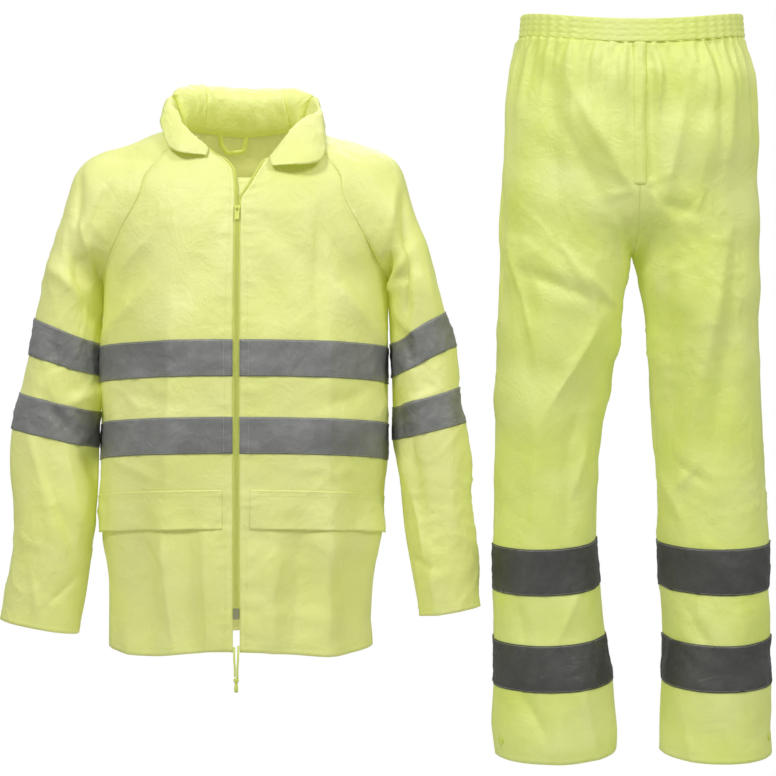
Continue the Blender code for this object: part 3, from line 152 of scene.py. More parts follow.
RAGLAN_COLUMNS = ("height", "front_left", "front_right", "back_left", "back_right")
RAGLAN_ROWS = (
    (-0.212, 90.0, 90.0, 90.0, 90.0),
    (-0.199, 90.0, 90.0, 90.0, 90.0),
    (-0.160, 66.0, 66.0, 66.0, 66.0),
    (-0.120, 53.0, 53.0, 52.0, 52.0),
    (-0.057, 41.0, 42.0, 39.0, 39.0),
    (-0.014, 40.5, 42.0, 36.0, 35.0),
    (0.012, 45.0, 46.0, 39.0, 38.0),
    (0.034, 50.0, 50.0, 42.0, 42.0),
)
NECK_TOP = {
    "front_left": (-0.003, 0.014),
    "front_right": (-0.020, 0.008),
    "back_left": (0.029, 0.031),
    "back_right": (0.029, 0.031),
}
EDGE_COLUMNS = ("height", "left", "right")
EDGE_ROWS = (
    (-0.720, 0.0046, 0.0046),
    (-0.100, 0.0046, 0.0046),
    (-0.080, 0.0046, 0.0052),
    (-0.060, 0.0052, 0.0165),
    (-0.040, 0.0080, 0.0270),
    (-0.022, 0.0200, 0.0370),
    (-0.012, 0.0370, 0.0420),
    (-0.003, 0.0470, 0.0450),
)

ARM_COLUMNS = ("along", "outer_x", "outer_z", "inner_x", "inner_z", "depth", "forward")
ARM_ROWS = {
    "left": (
        (0.000, 0.3390, -0.6640, 0.2315, -0.6840, 0.050, 0.016),
        (0.140, 0.3310, -0.5980, 0.2190, -0.6180, 0.054, 0.015),
        (0.280, 0.3240, -0.5300, 0.2110, -0.5480, 0.057, 0.013),
        (0.420, 0.3245, -0.4600, 0.2045, -0.4820, 0.060, 0.010),
        (0.555, 0.3240, -0.3950, 0.2032, -0.4225, 0.061, 0.007),
        (0.660, 0.3167, -0.3436, 0.2032, -0.3716, 0.062, 0.005),
        (0.770, 0.3050, -0.2897, 0.2036, -0.3220, 0.064, 0.003),
        (0.872, 0.2942, -0.2386, 0.2034, -0.2760, 0.067, 0.001),
        (1.000, 0.2780, -0.1640, 0.1992, -0.2050, 0.072, 0.000),
    ),
    "right": (
        (0.000, 0.3394, -0.6440, 0.2513, -0.6586, 0.048, 0.016),
        (0.140, 0.3330, -0.5850, 0.2400, -0.5980, 0.051, 0.015),
        (0.280, 0.3270, -0.5210, 0.2290, -0.5330, 0.054, 0.013),
        (0.420, 0.3210, -0.4550, 0.2230, -0.4700, 0.057, 0.010),
        (0.555, 0.3150, -0.3868, 0.2160, -0.4118, 0.059, 0.007),
        (0.660, 0.3094, -0.3360, 0.2125, -0.3650, 0.061, 0.005),
        (0.770, 0.3000, -0.2797, 0.2115, -0.3240, 0.064, 0.003),
        (0.872, 0.2880, -0.2293, 0.2095, -0.2760, 0.067, 0.001),
        (1.000, 0.2700, -0.1740, 0.2052, -0.2050, 0.072, 0.000),
    ),
}
TAPE_ON_ARM = {"lower": (0.555, 0.660), "upper": (0.770, 0.872)}
FOREARM_STITCH = 0.190

SHOULDER_COLUMNS = ("along", "outer_x", "outer_z", "reach", "forward", "depth")
SHOULDER_ROWS = {
    "left": (
        (0.00, 0.2780, -0.1640, 180.0, 0.000, 0.0720),
        (0.10, 0.2710, -0.1350, 154.0, 0.000, 0.0735),
        (0.20, 0.2620, -0.1050, 130.0, 0.000, 0.0760),
        (0.35, 0.2500, -0.0650, 108.0, 0.000, 0.0800),
        (0.50, 0.2330, -0.0290, 93.0, -0.002, 0.0840),
        (0.65, 0.2020, -0.0050, 80.0, -0.004, 0.0850),
        (0.80, 0.1600, 0.0105, 68.0, -0.006, 0.0820),
        (0.92, 0.1150, 0.0260, 58.0, -0.008, 0.0760),
        (1.00, 0.0880, 0.0320, 50.0, -0.008, 0.0700),
    ),
    "right": (
        (0.00, 0.2700, -0.1740, 180.0, 0.000, 0.0720),
        (0.10, 0.2610, -0.1440, 154.0, 0.000, 0.0735),
        (0.20, 0.2530, -0.1110, 130.0, 0.000, 0.0760),
        (0.35, 0.2430, -0.0720, 108.0, 0.000, 0.0800),
        (0.50, 0.2290, -0.0370, 93.0, -0.002, 0.0840),
        (0.65, 0.2010, -0.0080, 80.0, -0.004, 0.0850),
        (0.80, 0.1640, 0.0070, 68.0, -0.006, 0.0820),
        (0.92, 0.1210, 0.0170, 58.0, -0.008, 0.0760),
        (1.00, 0.0880, 0.0280, 50.0, -0.008, 0.0700),
    ),
}

COLLAR_COLUMNS = ("seam_x", "seam_y", "seam_z", "fold_x", "fold_y", "fold_z", "edge_x", "edge_y", "edge_z")
COLLAR_ROWS = (
    (-0.0470, -0.0710, 0.0000, -0.0425, -0.0830, -0.0060, -0.0450, -0.0920, -0.0160),
    (-0.0700, -0.0600, 0.0110, -0.0680, -0.0710, 0.0180, -0.0740, -0.0920, -0.0140),
    (-0.0830, -0.0420, 0.0200, -0.0860, -0.0510, 0.0400, -0.0960, -0.0780, -0.0050),
    (-0.0860, -0.0050, 0.0345, -0.1010, -0.0120, 0.0660, -0.1150, -0.0280, 0.0400),
    (-0.0800, 0.0320, 0.0365, -0.1020, 0.0300, 0.0840, -0.1170, 0.0300, 0.0480),
    (-0.0600, 0.0620, 0.0365, -0.0800, 0.0720, 0.0900, -0.0900, 0.0860, 0.0400),
    (0.0000, 0.0800, 0.0350, 0.0000, 0.0930, 0.0870, 0.0000, 0.1090, 0.0350),
    (0.0600, 0.0620, 0.0365, 0.0770, 0.0720, 0.0840, 0.0880, 0.0860, 0.0360),
    (0.0800, 0.0320, 0.0350, 0.1000, 0.0280, 0.0770, 0.1130, 0.0280, 0.0400),
    (0.0880, -0.0050, 0.0330, 0.1080, -0.0150, 0.0550, 0.1210, -0.0380, 0.0150),
    (0.0860, -0.0420, 0.0160, 0.0880, -0.0540, 0.0350, 0.1150, -0.0890, -0.0220),
    (0.0700, -0.0640, 0.0030, 0.0670, -0.0780, 0.0110, 0.0840, -0.1080, -0.0320),
    (0.0480, -0.0770, -0.0130, 0.0430, -0.0930, -0.0210, 0.0470, -0.1050, -0.0330),
)
COLLAR_SEAT = -0.0010
COLLAR_SEAT_REACH = 0.4
ROLL_START = 7 / 24
ROLL_STOP = 16 / 24
ROLL_BULGE = 0.034
ROLL_LIFT = 0.0040

# Creases across the rolled hood: place along it, depth and half width as a share of its length
ROLL_CREASES = (
    (0.14, 0.0016, 0.030), (0.27, 0.0018, 0.020), (0.38, 0.0024, 0.022), (0.46, 0.0016, 0.018),
    (0.54, 0.0024, 0.020), (0.62, 0.0024, 0.018), (0.71, 0.0018, 0.024), (0.83, 0.0016, 0.030),
)

LEG_COLUMNS = ("height", "outer", "inner", "front", "back")
LEG_ROWS = {
    "left": (
        (-0.856, 0.1920, 0.0225, 0.082, 0.082),
        (-0.745, 0.1950, 0.0305, 0.080, 0.081),
        (-0.680, 0.1950, 0.0400, 0.078, 0.080),
        (-0.610, 0.1950, 0.0450, 0.076, 0.080),
        (-0.545, 0.1950, 0.0500, 0.076, 0.081),
        (-0.480, 0.1945, 0.0485, 0.077, 0.084),
        (-0.400, 0.1937, 0.0440, 0.079, 0.089),
        (-0.320, 0.1925, 0.0270, 0.085, 0.096),
        (-0.256, 0.1910, 0.0155, 0.093, 0.104),
        (-0.190, 0.1880, 0.0100, 0.103, 0.115),
        (-0.151, 0.1865, 0.0000, 0.110, 0.122),
    ),
    "right": (
        (-0.856, 0.1950, 0.0390, 0.080, 0.082),
        (-0.745, 0.1960, 0.0447, 0.078, 0.080),
        (-0.674, 0.1950, 0.0460, 0.077, 0.079),
        (-0.610, 0.1930, 0.0420, 0.076, 0.079),
        (-0.545, 0.1912, 0.0390, 0.076, 0.080),
        (-0.480, 0.1896, 0.0385, 0.077, 0.083),
        (-0.400, 0.1862, 0.0340, 0.079, 0.089),
        (-0.320, 0.1828, 0.0250, 0.085, 0.096),
        (-0.232, 0.1800, 0.0180, 0.097, 0.108),
        (-0.190, 0.1796, 0.0110, 0.103, 0.115),
        (-0.151, 0.1796, 0.0000, 0.110, 0.122),
    ),
}
HIP_COLUMNS = ("height", "left", "right", "front", "back")
HIP_ROWS = (
    (-0.160, 0.1870, 0.1796, 0.112, 0.126),
    (-0.071, 0.1816, 0.1776, 0.118, 0.130),
    (0.000, 0.1800, 0.1776, 0.120, 0.128),
    (0.052, 0.1800, 0.1776, 0.119, 0.124),
    (0.099, 0.1750, 0.1750, 0.117, 0.119),
    (0.128, 0.1700, 0.1690, 0.114, 0.115),
    (0.158, 0.1600, 0.1600, 0.110, 0.110),
    (0.192, 0.1570, 0.1570, 0.107, 0.107),
)

# Folds: the ends of each line in the front view, its half width, its height with troughs
# below zero, and how sharp its crest is, from 0, round, to 1, a crease
FRONT_FOLDS = (
    (0.1205, -0.255, 0.1215, -0.475, 0.030, 0.0060, 0.9),
    (0.1205, -0.540, 0.1190, -0.690, 0.024, 0.0072, 0.9),
    (-0.0925, -0.255, -0.0950, -0.475, 0.030, 0.0060, 0.9),
    (-0.1034, -0.540, -0.0880, -0.690, 0.024, 0.0074, 0.9),
    (0.1110, -0.124, 0.1110, -0.255, 0.012, -0.0030, 0.3),
    (0.0866, -0.544, 0.0860, -0.690, 0.022, -0.0066, 0.2),
    (0.0472, -0.560, 0.0480, -0.690, 0.013, 0.0046, 0.6),
    (-0.0437, -0.550, -0.0440, -0.690, 0.014, 0.0048, 0.6),
    (-0.0640, -0.550, -0.0620, -0.690, 0.016, -0.0042, 0.2),
    (-0.1350, -0.545, -0.1300, -0.690, 0.022, -0.0070, 0.2),
    (0.1540, -0.545, 0.1490, -0.690, 0.018, -0.0048, 0.2),
    (-0.1495, -0.159, -0.1291, -0.138, 0.008, 0.0022, 0.5),
    (-0.1650, -0.215, -0.1250, -0.150, 0.014, -0.0030, 0.3),
    (-0.1760, -0.250, -0.1300, -0.205, 0.013, 0.0030, 0.5),
    (0.1760, -0.245, 0.1350, -0.200, 0.013, 0.0030, 0.5),
    (0.1690, -0.200, 0.1300, -0.130, 0.014, -0.0030, 0.3),
    (0.0400, -0.110, 0.1000, -0.170, 0.018, -0.0022, 0.1),
    (-0.0300, -0.130, -0.0850, -0.235, 0.022, -0.0024, 0.1),
    (0.0300, -0.150, 0.0550, -0.260, 0.020, -0.0022, 0.1),
    (-0.1750, -0.440, -0.1100, -0.462, 0.009, 0.0018, 0.6),
    (0.1500, -0.455, 0.0700, -0.446, 0.009, 0.0016, 0.6),
    (-0.1500, -0.350, -0.0800, -0.360, 0.010, -0.0016, 0.5),
    (0.1650, -0.345, 0.1250, -0.360, 0.010, -0.0018, 0.5),
)
BACK_FOLDS = (
    (0.1180, -0.250, 0.1150, -0.690, 0.030, 0.0060, 0.8),
    (-0.1120, -0.250, -0.1180, -0.690, 0.030, 0.0060, 0.8),
    (0.1700, -0.245, 0.1150, -0.160, 0.016, 0.0040, 0.5),
    (-0.1700, -0.245, -0.1150, -0.160, 0.016, 0.0040, 0.5),
    (0.1720, -0.205, 0.1180, -0.120, 0.014, -0.0036, 0.3),
    (-0.1720, -0.205, -0.1180, -0.120, 0.014, -0.0036, 0.3),
    (0.0500, -0.460, 0.0620, -0.690, 0.020, -0.0038, 0.2),
    (-0.0450, -0.480, -0.0560, -0.690, 0.020, -0.0038, 0.2),
    (0.0050, -0.500, 0.0020, -0.690, 0.018, 0.0032, 0.5),
    (0.0450, -0.080, 0.0750, -0.240, 0.020, -0.0026, 0.2),
    (-0.0450, -0.080, -0.0750, -0.240, 0.020, -0.0026, 0.2),
    (-0.0800, -0.020, 0.0800, -0.024, 0.014, -0.0022, 0.2),
)
SLEEVE_FOLDS = {
    "left": (
        (-0.2278, -0.046, -0.2285, -0.112, 0.008, -0.0050, 0.7),
        (-0.2230, -0.115, -0.1900, -0.228, 0.007, 0.0062, 0.7),
        (-0.2120, -0.150, -0.1850, -0.215, 0.013, -0.0100, 0.4),
        (-0.2667, -0.170, -0.2180, -0.212, 0.015, 0.0042, 0.6),
        (-0.2317, -0.155, -0.2039, -0.242, 0.010, -0.0052, 0.4),
        (-0.1861, -0.066, -0.2083, -0.118, 0.007, -0.0030, 0.5),
        (-0.1764, -0.010, -0.1110, -0.021, 0.012, -0.0030, 0.4),
        (-0.2917, -0.413, -0.2472, -0.560, 0.012, 0.0052, 0.7),
        (-0.2723, -0.452, -0.2400, -0.560, 0.012, -0.0046, 0.4),
        (-0.2153, -0.424, -0.1990, -0.463, 0.012, -0.0062, 0.4),
        (-0.2400, -0.430, -0.2260, -0.520, 0.010, 0.0036, 0.7),
        (-0.2639, -0.637, -0.2278, -0.601, 0.006, -0.0030, 0.9),
        (-0.2900, -0.600, -0.2830, -0.650, 0.008, 0.0026, 0.7),
        (-0.2639, -0.362, -0.2389, -0.400, 0.010, -0.0052, 0.4),
        (-0.2347, -0.359, -0.1990, -0.342, 0.010, 0.0042, 0.5),
        (-0.2600, -0.270, -0.2560, -0.320, 0.012, -0.0036, 0.4),
        (-0.2440, -0.300, -0.2300, -0.352, 0.010, -0.0030, 0.4),
    ),
    "right": (
        (0.2281, -0.077, 0.2351, -0.157, 0.008, -0.0062, 0.6),
        (0.2031, -0.205, 0.2323, -0.156, 0.009, 0.0070, 0.6),
        (0.2073, -0.150, 0.2045, -0.195, 0.012, -0.0092, 0.4),
        (0.2309, -0.173, 0.2281, -0.236, 0.009, -0.0064, 0.5),
        (0.2504, -0.120, 0.2643, -0.216, 0.014, 0.0042, 0.6),
        (0.2129, -0.077, 0.2045, -0.140, 0.008, 0.0032, 0.5),
        (0.1300, 0.004, 0.1700, -0.016, 0.012, -0.0030, 0.4),
        (0.2407, -0.417, 0.2476, -0.508, 0.010, -0.0054, 0.5),
        (0.2254, -0.424, 0.2573, -0.577, 0.010, 0.0050, 0.7),
        (0.2880, -0.400, 0.2950, -0.560, 0.014, 0.0036, 0.6),
        (0.2434, -0.581, 0.2670, -0.588, 0.005, -0.0030, 0.8),
        (0.2680, -0.588, 0.2750, -0.660, 0.012, 0.0050, 0.9),
        (0.2198, -0.265, 0.2350, -0.292, 0.010, -0.0052, 0.4),
        (0.2226, -0.369, 0.2643, -0.348, 0.008, 0.0036, 0.6),
        (0.2550, -0.290, 0.2650, -0.345, 0.012, -0.0030, 0.4),
        (0.2180, -0.355, 0.2250, -0.420, 0.010, -0.0040, 0.4),
    ),
}
SLEEVE_BACK_FOLDS = {
    "left": (
        (-0.3000, -0.395, -0.2300, -0.520, 0.013, 0.0050, 0.6),
        (-0.2900, -0.440, -0.2250, -0.560, 0.012, -0.0046, 0.4),
        (-0.2300, -0.130, -0.2150, -0.230, 0.012, -0.0070, 0.5),
        (-0.2500, -0.120, -0.2450, -0.240, 0.013, 0.0044, 0.6),
        (-0.2700, -0.330, -0.2300, -0.400, 0.012, -0.0040, 0.4),
    ),
    "right": (
        (0.3000, -0.395, 0.2350, -0.520, 0.013, 0.0050, 0.6),
        (0.2850, -0.440, 0.2400, -0.560, 0.012, -0.0046, 0.4),
        (0.2300, -0.130, 0.2180, -0.230, 0.012, -0.0070, 0.5),
        (0.2500, -0.120, 0.2480, -0.240, 0.013, 0.0044, 0.6),
        (0.2650, -0.330, 0.2350, -0.400, 0.012, -0.0040, 0.4),
    ),
}
LEG_FOLDS = (
    (0.5400, -0.058, 0.5050, -0.030, 0.005, 0.0022, 0.9),
    (0.5400, -0.066, 0.5080, -0.074, 0.005, 0.0020, 0.8),
    (0.5630, -0.060, 0.5900, -0.046, 0.005, 0.0020, 0.8),
    (0.5620, -0.070, 0.5820, -0.096, 0.005, 0.0018, 0.8),
    (0.5080, 0.090, 0.5040, 0.010, 0.007, 0.0030, 0.8),
    (0.5250, 0.110, 0.5300, 0.020, 0.006, 0.0026, 0.8),
    (0.5800, 0.110, 0.5760, 0.030, 0.006, 0.0028, 0.8),
    (0.6000, 0.120, 0.6100, 0.060, 0.007, 0.0028, 0.8),
    (0.6400, 0.120, 0.6380, 0.070, 0.006, 0.0026, 0.8),
    (0.4600, 0.110, 0.4580, 0.030, 0.008, 0.0028, 0.7),
    (0.3764, -0.148, 0.4025, -0.272, 0.012, 0.0056, 0.9),
    (0.4933, -0.254, 0.4342, -0.356, 0.016, 0.0064, 0.9),
    (0.4080, -0.183, 0.4837, -0.214, 0.013, -0.0056, 0.4),
    (0.4493, -0.148, 0.4947, -0.224, 0.006, 0.0030, 0.9),
    (0.4782, -0.183, 0.5249, -0.227, 0.007, 0.0032, 0.8),
    (0.3950, -0.200, 0.3980, -0.300, 0.012, -0.0042, 0.3),
    (0.4860, -0.330, 0.4600, -0.420, 0.018, -0.0040, 0.3),
    (0.4699, 0.055, 0.5350, -0.059, 0.014, 0.0052, 0.9),
    (0.4500, 0.020, 0.4950, -0.070, 0.014, -0.0036, 0.3),
    (0.5160, -0.095, 0.5270, -0.160, 0.010, 0.0032, 0.7),
    (0.4232, 0.105, 0.4397, -0.077, 0.020, -0.0032, 0.3),
    (0.4000, 0.080, 0.3950, -0.110, 0.020, 0.0032, 0.5),
    (0.5676, 0.045, 0.5700, -0.085, 0.014, -0.0062, 0.5),
    (0.6085, 0.040, 0.5890, -0.055, 0.013, 0.0054, 0.6),
    (0.5890, -0.090, 0.6250, -0.097, 0.010, -0.0034, 0.4),
    (0.6450, 0.050, 0.6350, -0.080, 0.018, 0.0036, 0.5),
    (0.6830, 0.085, 0.6720, -0.020, 0.015, 0.0034, 0.5),
    (0.6693, -0.176, 0.6212, -0.410, 0.020, 0.0044, 0.7),
    (0.6900, -0.150, 0.6560, -0.430, 0.018, -0.0040, 0.3),
    (0.5900, -0.150, 0.6010, -0.400, 0.018, -0.0042, 0.3),
    (0.6157, -0.447, 0.6418, -0.467, 0.008, -0.0032, 0.7),
    (0.6143, -0.476, 0.6300, -0.450, 0.007, 0.0034, 0.8),
    (0.5950, -0.470, 0.6150, -0.520, 0.009, 0.0030, 0.7),
    (0.4100, -0.370, 0.4060, -0.540, 0.016, 0.0034, 0.5),
    (0.4600, -0.440, 0.4520, -0.545, 0.016, -0.0030, 0.3),
    (0.4800, -0.430, 0.4650, -0.480, 0.008, 0.0026, 0.8),
    (0.3875, -0.640, 0.3930, -0.690, 0.010, -0.0030, 0.5),
    (0.4480, -0.680, 0.4680, -0.630, 0.010, 0.0030, 0.7),
    (0.3945, -0.770, 0.4220, -0.820, 0.011, -0.0038, 0.5),
    (0.4740, -0.765, 0.4940, -0.840, 0.013, 0.0042, 0.7),
    (0.4400, -0.780, 0.4450, -0.850, 0.016, 0.0030, 0.4),
    (0.6150, -0.780, 0.6250, -0.850, 0.014, 0.0032, 0.6),
    (0.6900, -0.640, 0.7000, -0.690, 0.012, 0.0028, 0.6),
    (0.6200, -0.645, 0.6450, -0.690, 0.011, -0.0030, 0.5),
)
LEG_BACK_FOLDS = (
    (0.4700, 0.060, 0.5300, -0.080, 0.016, 0.0054, 0.8),
    (0.6300, 0.060, 0.5750, -0.080, 0.016, 0.0054, 0.8),
    (0.4200, -0.120, 0.5000, -0.240, 0.018, 0.0056, 0.7),
    (0.6800, -0.120, 0.6000, -0.240, 0.018, 0.0056, 0.7),
    (0.4300, -0.170, 0.4950, -0.270, 0.016, -0.0044, 0.4),
    (0.6700, -0.170, 0.6100, -0.270, 0.016, -0.0044, 0.4),
    (0.4100, -0.300, 0.4250, -0.520, 0.020, 0.0044, 0.5),
    (0.6800, -0.300, 0.6700, -0.520, 0.020, 0.0044, 0.5),
    (0.4600, -0.340, 0.4500, -0.500, 0.018, -0.0036, 0.3),
    (0.6300, -0.340, 0.6400, -0.500, 0.018, -0.0036, 0.3),
    (0.4100, -0.770, 0.4250, -0.850, 0.014, 0.0036, 0.6),
    (0.6700, -0.770, 0.6600, -0.850, 0.014, 0.0036, 0.6),
)

# Grid steps of the cloth pieces
BODY_ROWS_LOW = 108
BODY_ROWS_HIGH = 46
FRONT_STEPS = 84
BACK_STEPS = 78
SLEEVE_ROWS_LOW = 104
SLEEVE_ROWS_HIGH = 50
SLEEVE_STEPS = 104
LEG_ROWS_COUNT = 200
LEG_STEPS = 78
COLLAR_STEPS = 168
COLLAR_OVER = 44
ROLL_AROUND = 60
ROLL_ALONG = 90
BAND_STEPS = 8
BAND_HEIGHT_STEPS = 24


def column(table, names, name):
    """One named column of a table."""
    return np.array([row[names.index(name)] for row in table], dtype=float)


def smooth(at, places, values):
    """A cubic through the values whose slopes are the harmonic means of the steps beside them."""
    at = np.clip(np.asarray(at, dtype=float), places[0], places[-1])
    step = np.diff(places)
    rise = np.diff(values) / step
    slope = np.zeros_like(values)
    same = rise[:-1] * rise[1:] > 0
    near = np.where(same, rise[:-1], 1.0)
    far = np.where(same, rise[1:], 1.0)
    slope[1:-1] = np.where(same, 2.0 * near * far / (near + far), 0.0)
    slope[0], slope[-1] = rise[0], rise[-1]
    low = np.clip(np.searchsorted(places, at, side="right") - 1, 0, len(step) - 1)
    h = step[low]
    t = (at - places[low]) / h
    first = (1 + 2 * t) * (1 - t) ** 2 * values[low] + t * (1 - t) ** 2 * h * slope[low]
    second = t * t * (3 - 2 * t) * values[low + 1] + t * t * (t - 1) * h * slope[low + 1]
    return first + second


def look_up(table, names, name, at, key="height"):
    """A named column's value at a place along the table."""
    return smooth(at, column(table, names, key), column(table, names, name))


def ease(value):
    """Nought to one with flat ends: t squared times three less two t."""
    value = np.clip(value, 0.0, 1.0)
    return value * value * (3 - 2 * value)


def unit(vectors):
    """Each vector divided by its length."""
    return vectors / np.maximum(np.linalg.norm(vectors, axis=-1, keepdims=True), 1e-12)


def grid_normals(points, ring=False):
    """Unit normals: the cross product of the steps along columns and along rows."""
    if ring:
        across = np.roll(points, -1, axis=1) - np.roll(points, 1, axis=1)
    else:
        across = np.gradient(points, axis=1)
    return unit(np.cross(across, np.gradient(points, axis=0)))


def read_grid(grid, rows, columns):
    """Points between a grid's points: the mean of four neighbours, weighted by nearness."""
    rows = np.clip(rows, 0, grid.shape[0] - 1)
    columns = np.clip(columns, 0, grid.shape[1] - 1)
    r = np.minimum(rows.astype(int), grid.shape[0] - 2)
    c = np.minimum(columns.astype(int), grid.shape[1] - 2)
    a = (rows - r)[..., None]
    b = (columns - c)[..., None]
    return ((grid[r, c] * (1 - b) + grid[r, c + 1] * b) * (1 - a)
            + (grid[r + 1, c] * (1 - b) + grid[r + 1, c + 1] * b) * a)


def folds_at(points, folds, facing):
    """Heights of the folds: each a bell or a crease with one steep side, fading beyond its ends.

    facing is -1 for folds on the front, +1 for those on the back, and they fade at the sides.
    """
    total = np.zeros(points.shape[:-1])
    for x0, z0, x1, z1, width, height, sharp in folds:
        line = np.array((x1 - x0, z1 - z0))
        length = np.linalg.norm(line)
        ahead = line / length
        dx, dz = points[..., 0] - x0, points[..., 2] - z0
        along = (dx * ahead[0] + dz * ahead[1]) / length
        across = (dx * ahead[1] - dz * ahead[0]) / width
        past = np.maximum(np.maximum(-along, along - 1.0), 0.0) * length / (2.2 * width)
        grow = 0.55 + 0.45 * ease(np.minimum(along, 1.0 - along) * 3.0 + 0.3)
        bell = np.exp(-across ** 2)
        crease = np.exp(-np.sqrt(across ** 2 + 0.01) * np.where(across > 0, 2.3, 1.1))
        total += height * grow * (bell * (1 - sharp) + crease * sharp) * np.exp(-past ** 2)
    return FOLD_STRENGTH * total * ease(facing * points[..., 1] / 0.03)


def waves_at(points, seed, size, count=14):
    """Smooth noise: a sum of sine waves in seeded directions, of about the given length."""
    draw = np.random.default_rng(seed)
    ways = unit(draw.normal(size=(count, 3)))
    lengths = size * draw.uniform(0.6, 1.7, count)
    starts = draw.uniform(0, 2 * math.pi, count)
    total = np.zeros(points.shape[:-1])
    for way, length, start in zip(ways, lengths, starts):
        total += np.sin(points @ way * (2 * math.pi / length) + start)
    return total / math.sqrt(count / 2)


def creases_at(points, seed, size):
    """Crinkles: ridges where two smooth noises cross nought, soft on both sides."""
    bend = waves_at(points, seed + 1, size * 2.5, 8) * size * 0.25
    shifted = points + bend[..., None]
    first = np.abs(waves_at(shifted, seed, size))
    second = np.abs(waves_at(shifted, seed + 2, size * 0.6))
    return np.exp(-(first / 0.32) ** 2) + 0.6 * np.exp(-(second / 0.28) ** 2)


def seam_fade(points, start=True, end=True, reach=0.010):
    """A weight that falls to nought at the side edges of a grid, over a real distance."""
    step = np.linalg.norm(np.diff(points, axis=1), axis=-1)
    run = np.concatenate([np.zeros((len(points), 1)), np.cumsum(step, axis=1)], axis=1)
    weight = np.ones(run.shape)
    if start:
        weight = weight * ease(run / reach)
    if end:
        weight = weight * ease((run[:, -1:] - run) / reach)
    return weight


def body_point(panel, across, level):
    """The jacket's front or back: an ellipse at each height, from the centre to the seam."""
    front = panel.startswith("front")
    name = panel.split("_")[1]
    sign = -1.0 if name == "left" else 1.0
    depth_name = "front" if front else "back"
    drop = look_up(BODY_ROWS, BODY_COLUMNS, "side_drop", level)
    dip = look_up(BODY_ROWS, BODY_COLUMNS, "dip", level)
    turn = across * math.pi / 2
    low = np.minimum(level, ARMPIT)
    height = low - drop * (1 - np.cos(turn)) - dip * np.sin(2 * turn) ** 2
    centre_top, seam_top = NECK_TOP[panel]
    up = np.clip((level - ARMPIT) / -ARMPIT, 0.0, 1.0)
    drop_there = look_up(BODY_ROWS, BODY_COLUMNS, "side_drop", ARMPIT)
    start = ARMPIT - drop_there * (1 - np.cos(turn))
    stop = centre_top + (seam_top - centre_top) * np.sin(turn)
    height = np.where(level > ARMPIT, start + (stop - start) * up, height)
    width = look_up(BODY_ROWS, BODY_COLUMNS, name, height)
    depth = look_up(BODY_ROWS, BODY_COLUMNS, depth_name, height)
    if front:
        first = np.arcsin(look_up(EDGE_ROWS, EDGE_COLUMNS, name, height) / width)
    else:
        first = np.zeros_like(width)
    last = np.radians(np.minimum(look_up(RAGLAN_ROWS, RAGLAN_COLUMNS, panel, height), 90.0))
    angle = first + across * (last - first)
    x = sign * width * np.sin(angle)
    y = (-1 if front else 1) * depth * np.cos(angle)
    return np.stack([x, y, height], axis=-1)


def body_levels():
    """The rows of the jacket's panels, even below the armpit and even above it."""
    low = np.linspace(HEM, ARMPIT, BODY_ROWS_LOW, endpoint=False)
    return np.concatenate([low, np.linspace(ARMPIT, 0.0, BODY_ROWS_HIGH)])


def sleeve_point(name, place, turn):
    """A raglan sleeve: an ellipse below the armpit, and above it an arc between both seams.

    place runs from the cuff, 0, to the armpit, 1, and the neck, 2; turn from the front edge,
    1, over the outside, 0, to the back edge, -1.
    """
    sign = -1.0 if name == "left" else 1.0
    low = np.clip(place, 0.0, 1.0)
    up = np.clip(place - 1.0, 0.0, 1.0)
    above = place > 1.0

    def arm(key):
        return look_up(ARM_ROWS[name], ARM_COLUMNS, key, low, "along")

    def shoulder(key):
        return look_up(SHOULDER_ROWS[name], SHOULDER_COLUMNS, key, up, "along")

    outer = np.stack([
        sign * np.where(above, shoulder("outer_x"), arm("outer_x")),
        -np.where(above, shoulder("forward"), arm("forward")),
        np.where(above, shoulder("outer_z"), arm("outer_z")),
    ], axis=-1)
    inner = np.stack([sign * arm("inner_x"), outer[..., 1], arm("inner_z")], axis=-1)
    level = ARMPIT * (1.0 - up)
    seam = np.where((turn > 0)[..., None], body_point("front_" + name, np.ones_like(level), level),
                    body_point("back_" + name, np.ones_like(level), level))
    reach = np.radians(np.where(above, shoulder("reach"), 180.0))
    angle = np.abs(turn) * reach
    inner = np.where(above[..., None], seam, inner)
    depth = np.where(above, shoulder("depth"), arm("depth"))
    short = np.where(above, np.abs(seam[..., 1] - outer[..., 1]) - depth * np.sin(reach), 0.0)
    part = (1 - np.cos(angle)) / (1 - np.cos(reach))
    x = outer[..., 0] + (inner[..., 0] - outer[..., 0]) * part
    z = outer[..., 2] + (inner[..., 2] - outer[..., 2]) * part
    y = outer[..., 1] - np.sign(turn) * (depth * np.sin(angle) + short * turn ** 2)
    return np.stack([x, y, z], axis=-1)


def sleeve_places():
    """The rows of a sleeve, even below the armpit and even above it."""
    low = np.linspace(0.0, 1.0, SLEEVE_ROWS_LOW, endpoint=False)
    return np.concatenate([low, np.linspace(1.0, 2.0, SLEEVE_ROWS_HIGH)])


